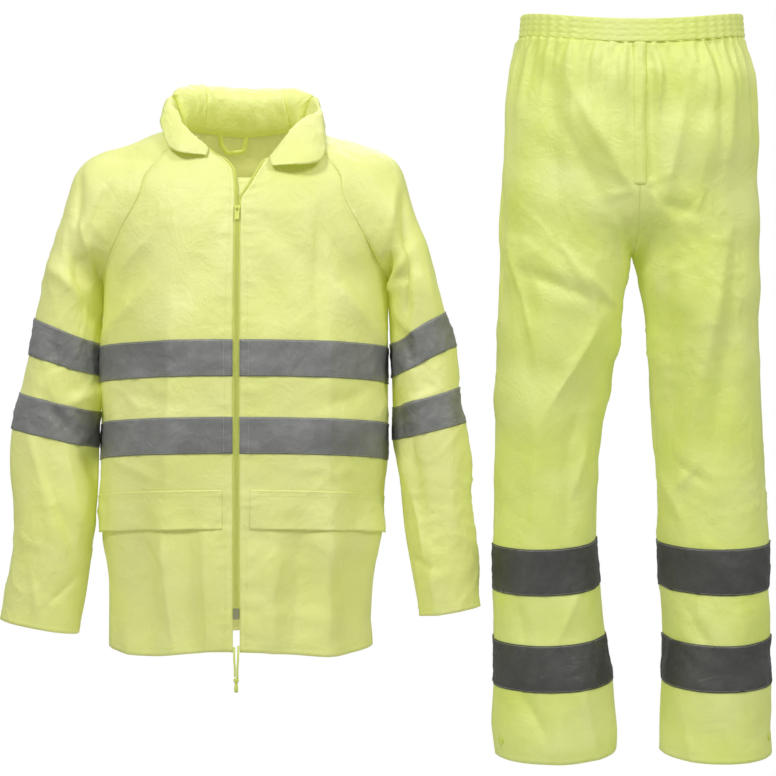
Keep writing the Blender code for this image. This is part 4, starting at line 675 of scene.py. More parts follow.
def leg_point(name, half, across, level):
    """A trouser panel from the side seam, 0, to the inside seam, 1.

    Half an ellipse round the leg turns, above the crotch, into a quarter of the hip's ellipse,
    along a crotch curve that is a quarter of a circle.
    """
    sign = -1.0 if name == "left" else 1.0
    table = LEG_ROWS[name]
    depth_name = "front" if half == 1 else "back"
    tilt = HEM_TILT if name == "left" else 0.0
    low_share = ease((CROTCH - level) / CROTCH_BLEND)
    dip = (HEM_DIP_FRONT if half == 1 else HEM_DIP_BACK) * low_share
    waist = ease((level - WAIST_DIP_START) / WAIST_DIP_REACH)
    low = np.minimum(level, CROTCH)
    leg_turn = across * math.pi
    hip_turn = across * math.pi / 2
    height = level - dip * np.sin(leg_turn) + tilt * low_share * (across - 0.5) * 2
    height = height - (WAIST_DIP_FRONT if half == 1 else WAIST_DIP_BACK) * waist * np.sin(hip_turn) ** 2
    outer = look_up(table, LEG_COLUMNS, "outer", low)
    inner = look_up(table, LEG_COLUMNS, "inner", low)
    leg_x = (outer + inner) / 2 + (outer - inner) / 2 * np.cos(leg_turn)
    leg_y = look_up(table, LEG_COLUMNS, depth_name, low) * np.sin(leg_turn)
    hip = np.maximum(level, CROTCH)
    hip_x = look_up(HIP_ROWS, HIP_COLUMNS, name, hip) * np.cos(hip_turn)
    hip_y = look_up(HIP_ROWS, HIP_COLUMNS, depth_name, hip) * np.sin(hip_turn)
    up = np.clip((level - CROTCH) / CROTCH_CURVE, 0.0, 1.0)
    round_share = np.sqrt(1 - (1 - up) ** 2)
    soft_share = ease((level - CROTCH + HIP_BLEND) / (2.0 * HIP_BLEND))
    inward = ease(across)
    share = soft_share * (1 - inward) + round_share * inward
    x = leg_x * (1 - share) + hip_x * share
    y = leg_y * (1 - share) + hip_y * share
    return np.stack([TROUSERS_X + sign * x, -half * y, height], axis=-1)


def leg_levels():
    """The rows of the trouser panels, closer where the crotch curve turns."""
    even = np.linspace(0.0, 1.0, LEG_ROWS_COUNT)
    span = WAIST_SEAM - TROUSER_HEM
    middle = (CROTCH - TROUSER_HEM) / span
    pull = 0.025 * np.sin(2 * math.pi * (even - middle)) * np.exp(-((even - middle) / 0.12) ** 2)
    near = even - pull
    return TROUSER_HEM + span * np.clip(near, 0.0, 1.0)


def collar_point(along, over):
    """The collar: a parabola from the neck seam over the fold to the free edge, at each place."""
    stations = np.linspace(0.0, 1.0, len(COLLAR_ROWS))

    def place(part):
        return np.stack([
            smooth(along, stations, column(COLLAR_ROWS, COLLAR_COLUMNS, part + axis))
            for axis in ("_x", "_y", "_z")
        ], axis=-1)

    seam, fold, edge = place("seam"), place("fold"), place("edge")
    knee = 2 * fold - (seam + edge) / 2
    over = over[..., None]
    return seam * (1 - over) ** 2 + 2 * over * (1 - over) * knee + edge * over ** 2


def nearest_on(line, spots):
    """The points of a line of straight steps that lie nearest to the given spots."""
    start, step = line[:-1], np.diff(line, axis=0)
    size = np.maximum(np.sum(step * step, axis=1), 1e-12)
    share = np.clip(np.einsum("ijk,jk->ij", spots[:, None] - start[None], step) / size, 0.0, 1.0)
    found = start[None] + step[None] * share[..., None]
    best = np.argmin(np.linalg.norm(found - spots[:, None], axis=2), axis=1)
    return found[np.arange(len(spots)), best]


def shade(name, colour, roughness, build=None, metallic=0.0, specular=0.38, coat=0.0):
    """A Principled finish, with its own nodes added by build."""
    finish = bpy.data.materials.new(name)
    finish.use_nodes = True
    tree = finish.node_tree
    shader = tree.nodes["Principled BSDF"]
    shader.inputs["Base Color"].default_value = (*colour, 1.0)
    shader.inputs["Roughness"].default_value = roughness
    shader.inputs["Metallic"].default_value = metallic
    shader.inputs["Specular IOR Level"].default_value = specular
    shader.inputs["Coat Weight"].default_value = coat
    finish.diffuse_color = (*colour, 1.0)
    if build:
        build(tree, shader)
    return finish


def node(tree, kind, **values):
    """A shader node with some of its sockets or settings given."""
    made = tree.nodes.new(kind)
    for key, value in values.items():
        if hasattr(made, key):
            setattr(made, key, value)
        else:
            made.inputs[key.replace("_", " ").title()].default_value = value
    return made


def noise(tree, coordinates, scale, detail=3.0, rough=0.5, distortion=0.0):
    """A noise texture read from the given coordinates."""
    made = tree.nodes.new("ShaderNodeTexNoise")
    made.inputs["Scale"].default_value = scale
    made.inputs["Detail"].default_value = detail
    made.inputs["Roughness"].default_value = rough
    made.inputs["Distortion"].default_value = distortion
    tree.links.new(coordinates, made.inputs["Vector"])
    return made


def ramp(tree, source, stops):
    """A colour ramp of places and colours."""
    made = tree.nodes.new("ShaderNodeValToRGB")
    elements = made.color_ramp.elements
    while len(elements) < len(stops):
        elements.new(0.5)
    for element, (place, colour) in zip(elements, stops):
        element.position = place
        element.color = (*colour, 1.0)
    tree.links.new(source, made.inputs["Fac"])
    return made


def bumped(tree, shader, heights):
    """Bump nodes in a chain, one for each height, distance and strength."""
    last = None
    for source, distance, strength in heights:
        made = tree.nodes.new("ShaderNodeBump")
        made.inputs["Distance"].default_value = distance
        made.inputs["Strength"].default_value = strength
        tree.links.new(source, made.inputs["Height"])
        if last:
            tree.links.new(last.outputs["Normal"], made.inputs["Normal"])
        last = made
    tree.links.new(last.outputs["Normal"], shader.inputs["Normal"])


def weave(tree, uv, pitch):
    """A plain weave: warp and weft sine waves on the cloth's own UV, which is in metres."""
    heights = []
    for direction in ("X", "Y"):
        wave = tree.nodes.new("ShaderNodeTexWave")
        wave.wave_type = "BANDS"
        wave.bands_direction = direction
        wave.inputs["Scale"].default_value = 1.0 / pitch * 0.314
        wave.inputs["Distortion"].default_value = 0.6
        wave.inputs["Detail"].default_value = 1.0
        tree.links.new(uv, wave.inputs["Vector"])
        heights.append(wave)
    both = tree.nodes.new("ShaderNodeMath")
    both.operation = "ADD"
    tree.links.new(heights[0].outputs["Fac"], both.inputs[0])
    tree.links.new(heights[1].outputs["Fac"], both.inputs[1])
    return both.outputs["Value"]


def coated_cloth(light, deep, crinkle=0.6):
    """Coated taffeta: a plain weave under a smooth coat, small crinkles, a slow change of tone."""
    def build(tree, shader):
        place = tree.nodes.new("ShaderNodeTexCoord")
        tone = noise(tree, place.outputs["Object"], 9.0, 3.0, 0.55)
        colours = ramp(tree, tone.outputs["Fac"], ((0.32, deep), (0.68, light)))
        tree.links.new(colours.outputs["Color"], shader.inputs["Base Color"])
        rough = noise(tree, place.outputs["Object"], 60.0, 2.0, 0.5)
        span = node(tree, "ShaderNodeMapRange")
        span.inputs["To Min"].default_value = 0.34
        span.inputs["To Max"].default_value = 0.50
        tree.links.new(rough.outputs["Fac"], span.inputs["Value"])
        tree.links.new(span.outputs["Result"], shader.inputs["Roughness"])
        big = noise(tree, place.outputs["Object"], 26.0, 4.0, 0.62, 0.6)
        small = noise(tree, place.outputs["Object"], 120.0, 3.0, 0.6, 0.4)
        bumped(tree, shader, (
            (big.outputs["Fac"], 0.0040, crinkle),
            (small.outputs["Fac"], 0.0009, crinkle),
            (weave(tree, place.outputs["UV"], 0.0007), 0.00006, 0.5),
        ))
    return build


def reflective_film(light, deep):
    """Reflective film on a backing: fine crinkles that catch the light, tiny glass beads."""
    def build(tree, shader):
        place = tree.nodes.new("ShaderNodeTexCoord")
        tone = noise(tree, place.outputs["Object"], 15.0, 4.0, 0.62, 0.7)
        colours = ramp(tree, tone.outputs["Fac"], ((0.30, deep), (0.72, light)))
        tree.links.new(colours.outputs["Color"], shader.inputs["Base Color"])
        crinkles = noise(tree, place.outputs["Object"], 26.0, 4.0, 0.60, 0.5)
        beads = noise(tree, place.outputs["Object"], 1400.0, 1.0, 0.5)
        bumped(tree, shader, (
            (crinkles.outputs["Fac"], 0.0100, 0.42),
            (beads.outputs["Fac"], 0.0001, 0.35),
        ))
    return build


def fine_threads(scale, strength):
    """Twisted thread or woven tape: narrow waves over the piece."""
    def build(tree, shader):
        place = tree.nodes.new("ShaderNodeTexCoord")
        twist = noise(tree, place.outputs["Object"], scale, 2.0, 0.6, 0.8)
        bumped(tree, shader, ((twist.outputs["Fac"], 0.0004, strength),))
    return build


def worn_enamel(light, deep):
    """Enamelled metal: a smooth coat, rubbed a little darker in places."""
    def build(tree, shader):
        place = tree.nodes.new("ShaderNodeTexCoord")
        tone = noise(tree, place.outputs["Object"], 420.0, 3.0, 0.6)
        colours = ramp(tree, tone.outputs["Fac"], ((0.35, deep), (0.6, light)))
        tree.links.new(colours.outputs["Color"], shader.inputs["Base Color"])
        bumped(tree, shader, ((tone.outputs["Fac"], 0.0002, 0.25),))
    return build


JACKET_LIGHT = (0.700, 0.707, 0.304)
JACKET_DEEP = (0.665, 0.693, 0.240)
TROUSER_LIGHT = (0.635, 0.668, 0.268)
TROUSER_DEEP = (0.575, 0.642, 0.168)
# Painted glow: emission colour and strengths that stand in for light and lift the shadows of the cloth
PAINTED_GLOW = (0.62, 0.72, 0.06)
PAINTED_GLOW_STRENGTH = 0.14
TROUSER_PAINTED_GLOW = 0.16
LINING = (0.70, 0.71, 0.28)
LINING_DEEP = (0.64, 0.65, 0.22)
# Painted glow of the rolled hood and of the cloth's inner side, standing in for light that passes through the
# cloth
HOOD_PAINTED_GLOW = 0.22
LINING_PAINTED_GLOW = 0.20
GREY_LIGHT = (0.245, 0.250, 0.238)
GREY_DEEP = (0.165, 0.170, 0.160)
DARK_LIGHT = (0.085, 0.087, 0.079)
DARK_DEEP = (0.050, 0.052, 0.046)
ZIP_COLOUR = (0.76, 0.80, 0.20)
ENAMEL_LIGHT = (0.74, 0.79, 0.20)
ENAMEL_DEEP = (0.56, 0.62, 0.11)
STUD_LIGHT = (0.68, 0.78, 0.15)
STUD_DEEP = (0.56, 0.65, 0.10)
THREAD = (0.80, 0.88, 0.26)

FINISHES = {
    "jacket": shade("jacket_taffeta", JACKET_LIGHT, 0.42, coated_cloth(JACKET_LIGHT, JACKET_DEEP)),
    "trousers": shade("trouser_taffeta", TROUSER_LIGHT, 0.42, coated_cloth(TROUSER_LIGHT, TROUSER_DEEP)),
    "lining": shade("coated_inside", LINING, 0.6, coated_cloth(LINING, LINING_DEEP, 0.6)),
    "hood": shade("stowed_hood_taffeta", JACKET_LIGHT, 0.42, coated_cloth(JACKET_LIGHT, JACKET_DEEP, 0.8)),
    "grey_tape": shade("reflective_grey", GREY_LIGHT, 0.45, reflective_film(GREY_LIGHT, GREY_DEEP)),
    "dark_tape": shade("reflective_dark_grey", DARK_LIGHT, 0.45, reflective_film(DARK_LIGHT, DARK_DEEP)),
    "zip_tape": shade("zip_tape_weave", ZIP_COLOUR, 0.65, fine_threads(900.0, 0.6)),
    "coil": shade("zip_coil_nylon", (0.74, 0.79, 0.18), 0.32, fine_threads(700.0, 0.2)),
    "enamel": shade("zip_enamel", (0.72, 0.78, 0.18), 0.28, worn_enamel(ENAMEL_LIGHT, ENAMEL_DEEP)),
    "patch": shade("zip_end_patch_weave", (0.27, 0.28, 0.15), 0.6, fine_threads(1100.0, 0.7)),
    "thread": shade("sewing_thread", THREAD, 0.55, fine_threads(1500.0, 0.5)),
    "pale_thread": shade("pale_sewing_thread", (0.66, 0.70, 0.48), 0.55, fine_threads(1500.0, 0.5)),
    "loop_tape": shade("hanger_loop_weave", (0.80, 0.84, 0.26), 0.6, fine_threads(900.0, 0.6)),
    "cord": shade("braided_cord", (0.68, 0.77, 0.17), 0.6, fine_threads(1300.0, 0.9)),
    "stud": shade("press_stud_plastic", (0.66, 0.76, 0.14), 0.3, worn_enamel(STUD_LIGHT, STUD_DEEP)),
}


# Painted glow: the jacket, trousers and hanger loop give off a fixed light in the dye's colour, whatever
# light falls on them, which keeps the shadows yellow-green
# The rolled hood is loose layers of thin cloth, which pass light on to its underside, and light passes
# through the cloth to its inner side; both are given a stronger painted glow that stands in for this light
for painted_glow_finish, colour, strength in (
    ("jacket", PAINTED_GLOW, PAINTED_GLOW_STRENGTH),
    ("trousers", PAINTED_GLOW, TROUSER_PAINTED_GLOW),
    ("hood", PAINTED_GLOW, HOOD_PAINTED_GLOW),
    ("loop_tape", PAINTED_GLOW, PAINTED_GLOW_STRENGTH),
    ("lining", LINING, LINING_PAINTED_GLOW),
):
    glow_shader = FINISHES[painted_glow_finish].node_tree.nodes["Principled BSDF"]
    glow_shader.inputs["Emission Color"].default_value = (*colour, 1.0)
    glow_shader.inputs["Emission Strength"].default_value = strength


def placed(name, mesh, finishes):
    """An object of the mesh, at the origin, with its finishes."""
    item = bpy.data.objects.new(name, mesh)
    bpy.context.scene.collection.objects.link(item)
    for finish in finishes:
        item.data.materials.append(FINISHES[finish])
    return item


def grid_mesh(name, points, flip=False, ring=False):
    """A mesh of four-sided faces on a grid, with a UV map that measures the cloth in metres."""
    rows, columns = points.shape[:2]
    index = np.arange(rows * columns).reshape(rows, columns)
    if ring:
        index = np.concatenate([index, index[:, :1]], axis=1)
        points = np.concatenate([points, points[:, :1]], axis=1)
    step = np.linalg.norm(np.diff(points, axis=1), axis=-1)
    run = np.concatenate([np.zeros((rows, 1)), np.cumsum(step, axis=1)], axis=1)
    climb = np.linalg.norm(np.diff(points, axis=0), axis=-1)
    rise = np.concatenate([np.zeros((1, points.shape[1])), np.cumsum(climb, axis=0)], axis=0)
    sheet_uv = np.stack([run - run.mean(axis=1, keepdims=True), rise], axis=-1)
    corners = [np.s_[:-1, :-1], np.s_[:-1, 1:], np.s_[1:, 1:], np.s_[1:, :-1]]
    if flip:
        corners = corners[::-1]
    quads = np.stack([index[c] for c in corners], axis=-1).reshape(-1, 4)
    uvs = np.stack([sheet_uv[c] for c in corners], axis=2).reshape(-1, 2)
    mesh = bpy.data.meshes.new(name)
    flat = points[:, :columns].reshape(-1, 3)
    mesh.from_pydata(flat.tolist(), [], quads.tolist())
    layer = mesh.uv_layers.new(name="cloth")
    layer.data.foreach_set("uv", uvs.ravel())
    mesh.shade_smooth()
    return mesh


def shell(name, points, finishes, thickness=CLOTH, flip=False, ring=False, outward=False):
    """A thin shell of cloth on a grid; the second finish is that of its inner side."""
    item = placed(name, grid_mesh(name, points, flip, ring), finishes)
    wall = item.modifiers.new("thickness", "SOLIDIFY")
    wall.thickness = thickness
    wall.offset = 1.0 if outward else -1.0
    wall.use_rim = True
    wall.material_offset = len(finishes) - 1
    return item


def sewn(item, slot, *nodes):
    """The piece rides on the suit and stands for its CAD nodes, which it hides; slot is not used."""
    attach(item, "suit")
    if nodes:
        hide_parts(*nodes)
    return item


def cut_cloth(item, points, ring=False):
    """Return the cloth as it is; with ring, its points are closed round first, and nothing more is done with
    them.
    """
    if ring:
        points = np.concatenate([points, points[:, :1]], axis=1)
    return item


def line_on(grid, normals, rows, columns, lift, spacing):
    """Even places along a line on a grid, lifted off it: their points, directions and normals."""
    dense = np.linspace(0.0, 1.0, 400)
    rows = np.interp(dense, np.linspace(0.0, 1.0, len(rows)), rows)
    columns = np.interp(dense, np.linspace(0.0, 1.0, len(columns)), columns)
    path = read_grid(grid, rows, columns)
    run = np.concatenate([[0.0], np.cumsum(np.linalg.norm(np.diff(path, axis=0), axis=1))])
    count = max(2, int(run[-1] / spacing))
    at = np.interp((np.arange(count) + 0.5) / count * run[-1], run, dense)
    ahead = np.clip(at + 0.0005, 0.0, 1.0)
    behind = np.clip(at - 0.0005, 0.0, 1.0)

    def there(where):
        return read_grid(grid, np.interp(where, dense, rows), np.interp(where, dense, columns))

    out = unit(read_grid(normals, np.interp(at, dense, rows), np.interp(at, dense, columns)))
    return there(at) + out * lift, unit(there(ahead) - there(behind)), out


STITCH_PITCH = 0.0034
STITCH_LIFT = 0.0002
STITCH_LENGTH = 0.0024
STITCH_WIDTH = 0.00045


def stitch_mesh(name, lines):
    """Small sewn threads: each is a bar with pointed ends, six corners along its line."""
    centres, along, out = (np.concatenate([line[i] for line in lines]) for i in range(3))
    side = unit(np.cross(along, out))
    long, wide, tall = STITCH_LENGTH / 2, STITCH_WIDTH / 2, STITCH_WIDTH / 2
    corners = ((-1, 0, -0.4), (-0.5, 1, 0), (-0.5, 0, 1), (-0.5, -1, 0),
               (0.5, 1, 0), (0.5, 0, 1), (0.5, -1, 0), (1, 0, -0.4))
    points = np.stack([centres + along * a * long + side * s * wide + out * u * tall
                       for a, s, u in corners], axis=1)
    pattern = np.array([
        (0, 2, 1), (0, 3, 2), (0, 1, 3), (1, 2, 5), (1, 5, 4), (2, 3, 6), (2, 6, 5),
        (3, 1, 4), (3, 4, 6), (4, 5, 7), (5, 6, 7), (6, 4, 7),
    ])
    faces = (np.arange(len(centres))[:, None, None] * len(corners) + pattern[None]).reshape(-1, 3)
    mesh = bpy.data.meshes.new(name)
    mesh.from_pydata(points.reshape(-1, 3).tolist(), [], faces.tolist())
    mesh.shade_smooth()
    return mesh


def stitching(name, lines, slot, finish="thread"):
    """One piece that holds all the stitches of a panel."""
    return sewn(placed(name, stitch_mesh(name, lines), (finish,)), slot)


def crumpled(points, seed, amount, flip, fade):
    """A panel's small creases: crinkles in patches over slow and small waves, along its normals."""
    normals = grid_normals(points) * (-1.0 if flip else 1.0)
    patches = ease(0.5 + 0.6 * waves_at(points, seed + 9, 0.22, 6))
    height = CRINKLE * (creases_at(points, seed, 0.085) - 0.3) * patches
    height = height + SLOW_WAVE * waves_at(points, seed + 5, 0.13)
    height = height + SMALL_WAVE * waves_at(points, seed + 7, 0.045)
    return points + normals * (height * amount * fade)[..., None]


PANELS = {}
NORMALS = {}


def keep(name, points, flip):
    """Remember a panel's points and outward normals for what is sewn on it."""
    PANELS[name] = points
    NORMALS[name] = grid_normals(points) * (-1.0 if flip else 1.0)


def jacket_front(name):
    """A front panel: the body's form, its folds, a dip along its seams and at the zip's stitching."""
    flip = name == "left"
    levels = body_levels()
    across = np.linspace(0.0, 1.0, FRONT_STEPS + 1)
    row = levels[:, None] + 0 * across[None, :]
    points = body_point("front_" + name, across[None, :] + 0 * row, row)
    normals = grid_normals(points) * (-1.0 if flip else 1.0)
    fade = seam_fade(points, start=False)
    edge = seam_fade(points, end=False, reach=0.012)
    height = folds_at(points, FRONT_FOLDS, -1) * fade * (0.15 + 0.85 * edge)
    draw = np.random.default_rng(31 if flip else 37)
    rough = np.convolve(draw.normal(size=len(levels) + 4), (0.15, 0.7, 0.15), "same")[2:-2]
    puckers = 0.0006 * rough + 0.0004 * np.sin(levels * 520.0 + 2.0 * np.sin(levels * 61.0))
    run = np.linalg.norm(points - points[:, :1], axis=-1)
    height = height + puckers[:, None] * np.exp(-((run - 0.012) / 0.011) ** 2)
    points = points + normals * height[..., None]
    calm = CHEST_CALM + (1.0 - CHEST_CALM) * ease((-0.20 - row) / 0.20)
    points = crumpled(points, 11 if flip else 12, 1.0, flip, fade * (0.3 + 0.7 * edge) * calm)
    keep("front_" + name, points, flip)
    item = shell("front_" + name + "_cloth", points, ("jacket", "lining"), flip=flip)
    sewn(item, "jacket_cloth", "front_" + name)
    return cut_cloth(item, points)


def jacket_back():
    """The back panel, from the right seam to the left one."""
    levels = body_levels()
    across = np.linspace(0.0, 1.0, BACK_STEPS + 1)
    row = levels[:, None] + 0 * across[None, :]
    left = body_point("back_left", across[None, :] + 0 * row, row)
    right = body_point("back_right", across[None, :] + 0 * row, row)
    points = np.concatenate([right[:, ::-1], left[:, 1:]], axis=1)
    normals = grid_normals(points)
    fade = seam_fade(points)
    points = points + normals * (folds_at(points, BACK_FOLDS, 1) * fade)[..., None]
    points = crumpled(points, 17, 1.0, False, fade)
    keep("back", points, False)
    item = sewn(shell("back_cloth", points, ("jacket", "lining")), "jacket_cloth", "back")
    return cut_cloth(item, points)


def jacket_sleeve(name):
    """A sleeve with its folds at the armhole, the elbow and the cuff."""
    flip = name == "left"
    places = sleeve_places()
    turn = np.linspace(1.0, -1.0, SLEEVE_STEPS + 1)
    place = places[:, None] + 0 * turn[None, :]
    points = sleeve_point(name, place, turn[None, :] + 0 * place)
    normals = grid_normals(points) * (-1.0 if flip else 1.0)
    fade = seam_fade(points, reach=0.006)
    height = folds_at(points, SLEEVE_FOLDS[name], -1) + folds_at(points, SLEEVE_BACK_FOLDS[name], 1)
    points = points + normals * (height * fade)[..., None]
    points = crumpled(points, 23 if flip else 29, 1.1, flip, fade)
    keep("sleeve_" + name, points, flip)
    item = shell("sleeve_" + name + "_cloth", points, ("jacket", "lining"), flip=flip)
    sewn(item, "jacket_cloth", "sleeve_" + name)
    return cut_cloth(item, points)


def strip_on(panel, rows, columns, row_steps, column_steps, lift):
    """A grid read from a panel between two rows and two columns, lifted off it."""
    r = np.linspace(*rows, row_steps + 1)[:, None] + np.zeros(column_steps + 1)[None, :]
    c = np.linspace(*columns, column_steps + 1)[None, :] + np.zeros(row_steps + 1)[:, None]
    return read_grid(PANELS[panel], r, c) + unit(read_grid(NORMALS[panel], r, c)) * lift


def tape_crinkle(points, flip, seed, amount=0.00035):
    """Fine crinkles of a reflective tape, never below its seat."""
    normals = grid_normals(points) * (-1.0 if flip else 1.0)
    height = amount * creases_at(points, seed, 0.050)
    return points + normals * height[..., None]


def body_tapes():
    """Two tapes round the body, on the fronts and the back, each sewn along both edges."""
    levels = body_levels()
    for height, top in (("upper", UPPER_TAPE_TOP), ("lower", LOWER_TAPE_TOP)):
        rows = np.interp((top - REFLECTIVE_JACKET, top), levels, np.arange(len(levels)))
        for panel, steps in (("front_left", FRONT_STEPS), ("front_right", FRONT_STEPS),
                             ("back", 2 * BACK_STEPS)):
            flip = panel == "front_left"
            name = "body_tape_" + height + "_" + panel.split("_")[-1]
            points = strip_on(panel, rows, (0.0, steps), 14, steps, LAY)
            points = tape_crinkle(points, flip, 41, 0.0008)
            item = shell(name + "_film", points, ("grey_tape",), TAPE, flip=flip, outward=True)
            sewn(item, "reflective_tape", name)
            cut_cloth(item, points)
            ends = (rows[0] + 0.4, rows[1] - 0.4)
            lines = [line_on(PANELS[panel], NORMALS[panel], (row, row), (0.6, steps - 0.6),
                             LAY + TAPE + 0.0006, STITCH_PITCH) for row in ends]
            if panel != "back":
                lines.append(line_on(PANELS[panel], NORMALS[panel], rows, (3.2, 3.2),
                                     LAY + TAPE + 0.0006, STITCH_PITCH))
            stitching(name + "_stitches", lines, "reflective_tape", "pale_thread")


def sleeve_tapes():
    """Two tapes round each sleeve."""
    places = sleeve_places()
    for name in ("left", "right"):
        flip = name == "left"
        panel = "sleeve_" + name
        for height, span in TAPE_ON_ARM.items():
            rows = np.interp(span, places, np.arange(len(places)))
            points = strip_on(panel, rows, (0.0, SLEEVE_STEPS), 14, SLEEVE_STEPS, LAY)
            points = tape_crinkle(points, flip, 43, 0.0011)
            label = "sleeve_tape_" + height + "_" + name
            item = shell(label + "_film", points, ("grey_tape",), TAPE, flip=flip, outward=True)
            sewn(item, "reflective_tape", label)
            cut_cloth(item, points)
            lines = [line_on(PANELS[panel], NORMALS[panel], (row, row), (0.0, SLEEVE_STEPS),
                             LAY + TAPE + 0.0007, STITCH_PITCH) for row in (rows[0] + 0.4, rows[1] - 0.4)]
            stitching(label + "_stitches", lines, "reflective_tape", "pale_thread")


def pocket_flaps():
    """A flap on each front, sewn along the pocket seam and standing a little proud below."""
    levels = body_levels()
    rows = np.interp((FLAP_EDGE, POCKET_SEAM), levels, np.arange(len(levels)))
    for name in ("left", "right"):
        flip = name == "left"
        panel = "front_" + name
        first = FLAP_START * FRONT_STEPS
        flat = strip_on(panel, rows, (first, FRONT_STEPS), 20, FRONT_STEPS, 0.0)
        normals = grid_normals(flat) * (-1.0 if flip else 1.0)
        down = np.linspace(1.0, 0.0, 21)[:, None]
        across = np.linspace(0.0, 1.0, FRONT_STEPS + 1)[None, :]
        open_here = (1.0 - 0.4 * np.exp(-((across - 0.45) / 0.2) ** 2)) * ease(across / 0.25)
        wave = 0.0007 * np.sin(across * 9.0 + 0.7) * down * ease(across / 0.25)
        lift = FLAP_LAY + FLAP_LIFT * open_here * down ** 1.3 + wave + 0.0005 * np.exp(-(down / 0.06) ** 2)
        points = flat + normals * np.maximum(lift, FLAP_LAY)[..., None]
        points = tape_crinkle(points, flip, 51, 0.0004)
        item = shell("pocket_flap_" + name + "_cloth", points, ("jacket", "lining"), FLAP_CLOTH,
                     flip=flip, outward=True)
        sewn(item, "jacket_cloth", "pocket_flap_" + name)
        cut_cloth(item, points)
        above = grid_normals(points) * (-1.0 if flip else 1.0)
        lines = [line_on(points, above, (row, row), (0.5, FRONT_STEPS - 0.5),
                         CLOTH + STITCH_LIFT, STITCH_PITCH)
                 for row in (19.4, 17.0)]
        stitching("pocket_flap_" + name + "_stitches", lines, "jacket_cloth")


def neck_line():
    """The upper edges of the panels and sleeves in one line, from the left front round the back."""
    back = PANELS["back"][-1]
    return np.concatenate([
        PANELS["front_left"][-1], PANELS["sleeve_left"][-1], back[::-1],
        PANELS["sleeve_right"][-1, ::-1], PANELS["front_right"][-1, ::-1],
    ])


def collar_grid(along, over):
    """The collar's form with its seam moved onto the neck line."""
    place = along[None, :] + 0 * over[:, None]
    points = collar_point(place, over[:, None] + 0 * place)
    seat = nearest_on(neck_line(), points[0]) + np.array((0.0, 0.0, COLLAR_SEAT))
    share = np.clip(1.0 - over / COLLAR_SEAT_REACH, 0.0, 1.0)[:, None, None]
    return points + (seat - points[0])[None] * share


def collar_and_hood():
    """The turned-down collar, and the hood rolled up inside its back as a soft full tube."""
    along = np.linspace(0.0, 1.0, COLLAR_STEPS + 1)
    over = np.linspace(0.0, 1.0, COLLAR_OVER + 1)
    points = collar_grid(along, over)
    normals = grid_normals(points)
    fade = ease(over / 0.15)[:, None]
    height = 0.0016 * waves_at(points, 61, 0.060) + 0.0009 * (creases_at(points, 63, 0.040) - 0.4)
    points = points + normals * (height * fade)[..., None]
    item = sewn(shell("collar_cloth", points, ("jacket", "jacket")), "jacket_cloth", "collar")
    cut_cloth(item, points)
    normals = grid_normals(points)
    lines = [line_on(points, -normals, (COLLAR_OVER - 3.0,) * 2, (1.0, COLLAR_STEPS - 1.0),
                     CLOTH + STITCH_LIFT, STITCH_PITCH)]
    lines += [line_on(points, -normals, (2.0, COLLAR_OVER - 3.0), (col, col),
                      CLOTH + STITCH_LIFT, STITCH_PITCH)
              for col in (2.0, COLLAR_STEPS - 2.0)]
    stitching("collar_stitches", lines, "jacket_cloth")
    span = np.linspace(ROLL_START, ROLL_STOP, ROLL_ALONG + 1)
    rise = np.linspace(0.0, 0.5, ROLL_AROUND // 2 + 1)
    inner = collar_grid(span, rise)
    inner_normals = grid_normals(inner)
    forward = unit(inner_normals * np.array((1.0, 1.0, 0.35)))
    thick = np.sin(rise / 0.5 * math.pi)[:, None] ** 0.70
    ends = np.sin(np.linspace(0.015, 0.985, ROLL_ALONG + 1) * math.pi)[None, :] ** 0.35
    bulge = 0.0015 + ROLL_BULGE * thick * ends
    near = inner + inner_normals * 0.0010
    lift = np.array((0.0, 0.0, ROLL_LIFT)) * (np.sin(rise / 0.5 * math.pi * 0.9)[:, None, None])
    far = near + forward * bulge[..., None] + lift
    roll = np.concatenate([far, near[::-1]], axis=0)
    weight = np.concatenate([thick * ends, 0 * thick * ends], axis=0)
    lengthwise = np.linspace(0.0, 1.0, ROLL_ALONG + 1)[None, :]
    wave = waves_at(roll * np.array((1.0, 1.0, 0.35)), 71, 0.032)
    wrinkle = 0.0010 * wave + 0.0008 * (creases_at(roll * np.array((1.0, 1.0, 0.4)), 73, 0.050) - 0.5)
    lean = 0.035 * (weight - 0.5)
    for place, deep, wide in ROLL_CREASES:
        wrinkle = wrinkle - deep * np.exp(-(np.abs(lengthwise - place + lean) / wide) ** 1.4)
    roll_normals = grid_normals(np.swapaxes(roll, 0, 1), ring=True)
    roll = np.swapaxes(roll, 0, 1)
    roll = roll + roll_normals * (wrinkle * weight).T[..., None]
    mesh = grid_mesh("hood_roll_cloth", roll, ring=True)
    item = placed("hood_roll_cloth", mesh, ("hood",))
    close_ends(item.data)
    sewn(item, "jacket_cloth", "hood_roll")


def close_ends(mesh):
    """Fill the open ends of a tube and turn its faces outwards."""
    work = bmesh.new()
    work.from_mesh(mesh)
    rims = [edge for edge in work.edges if edge.is_boundary]
    bmesh.ops.holes_fill(work, edges=rims, sides=0)
    bmesh.ops.recalc_face_normals(work, faces=work.faces)
    work.to_mesh(mesh)
    work.free()
    mesh.shade_smooth()


def body_spot(panel, x, z):
    """The point and normal of a panel nearest to the given x and z in the front view."""
    grid = PANELS[panel]
    gap = (grid[..., 0] - x) ** 2 + (grid[..., 2] - z) ** 2
    row, col = np.unravel_index(np.argmin(gap), gap.shape)
    return grid[row, col], NORMALS[panel][row, col]


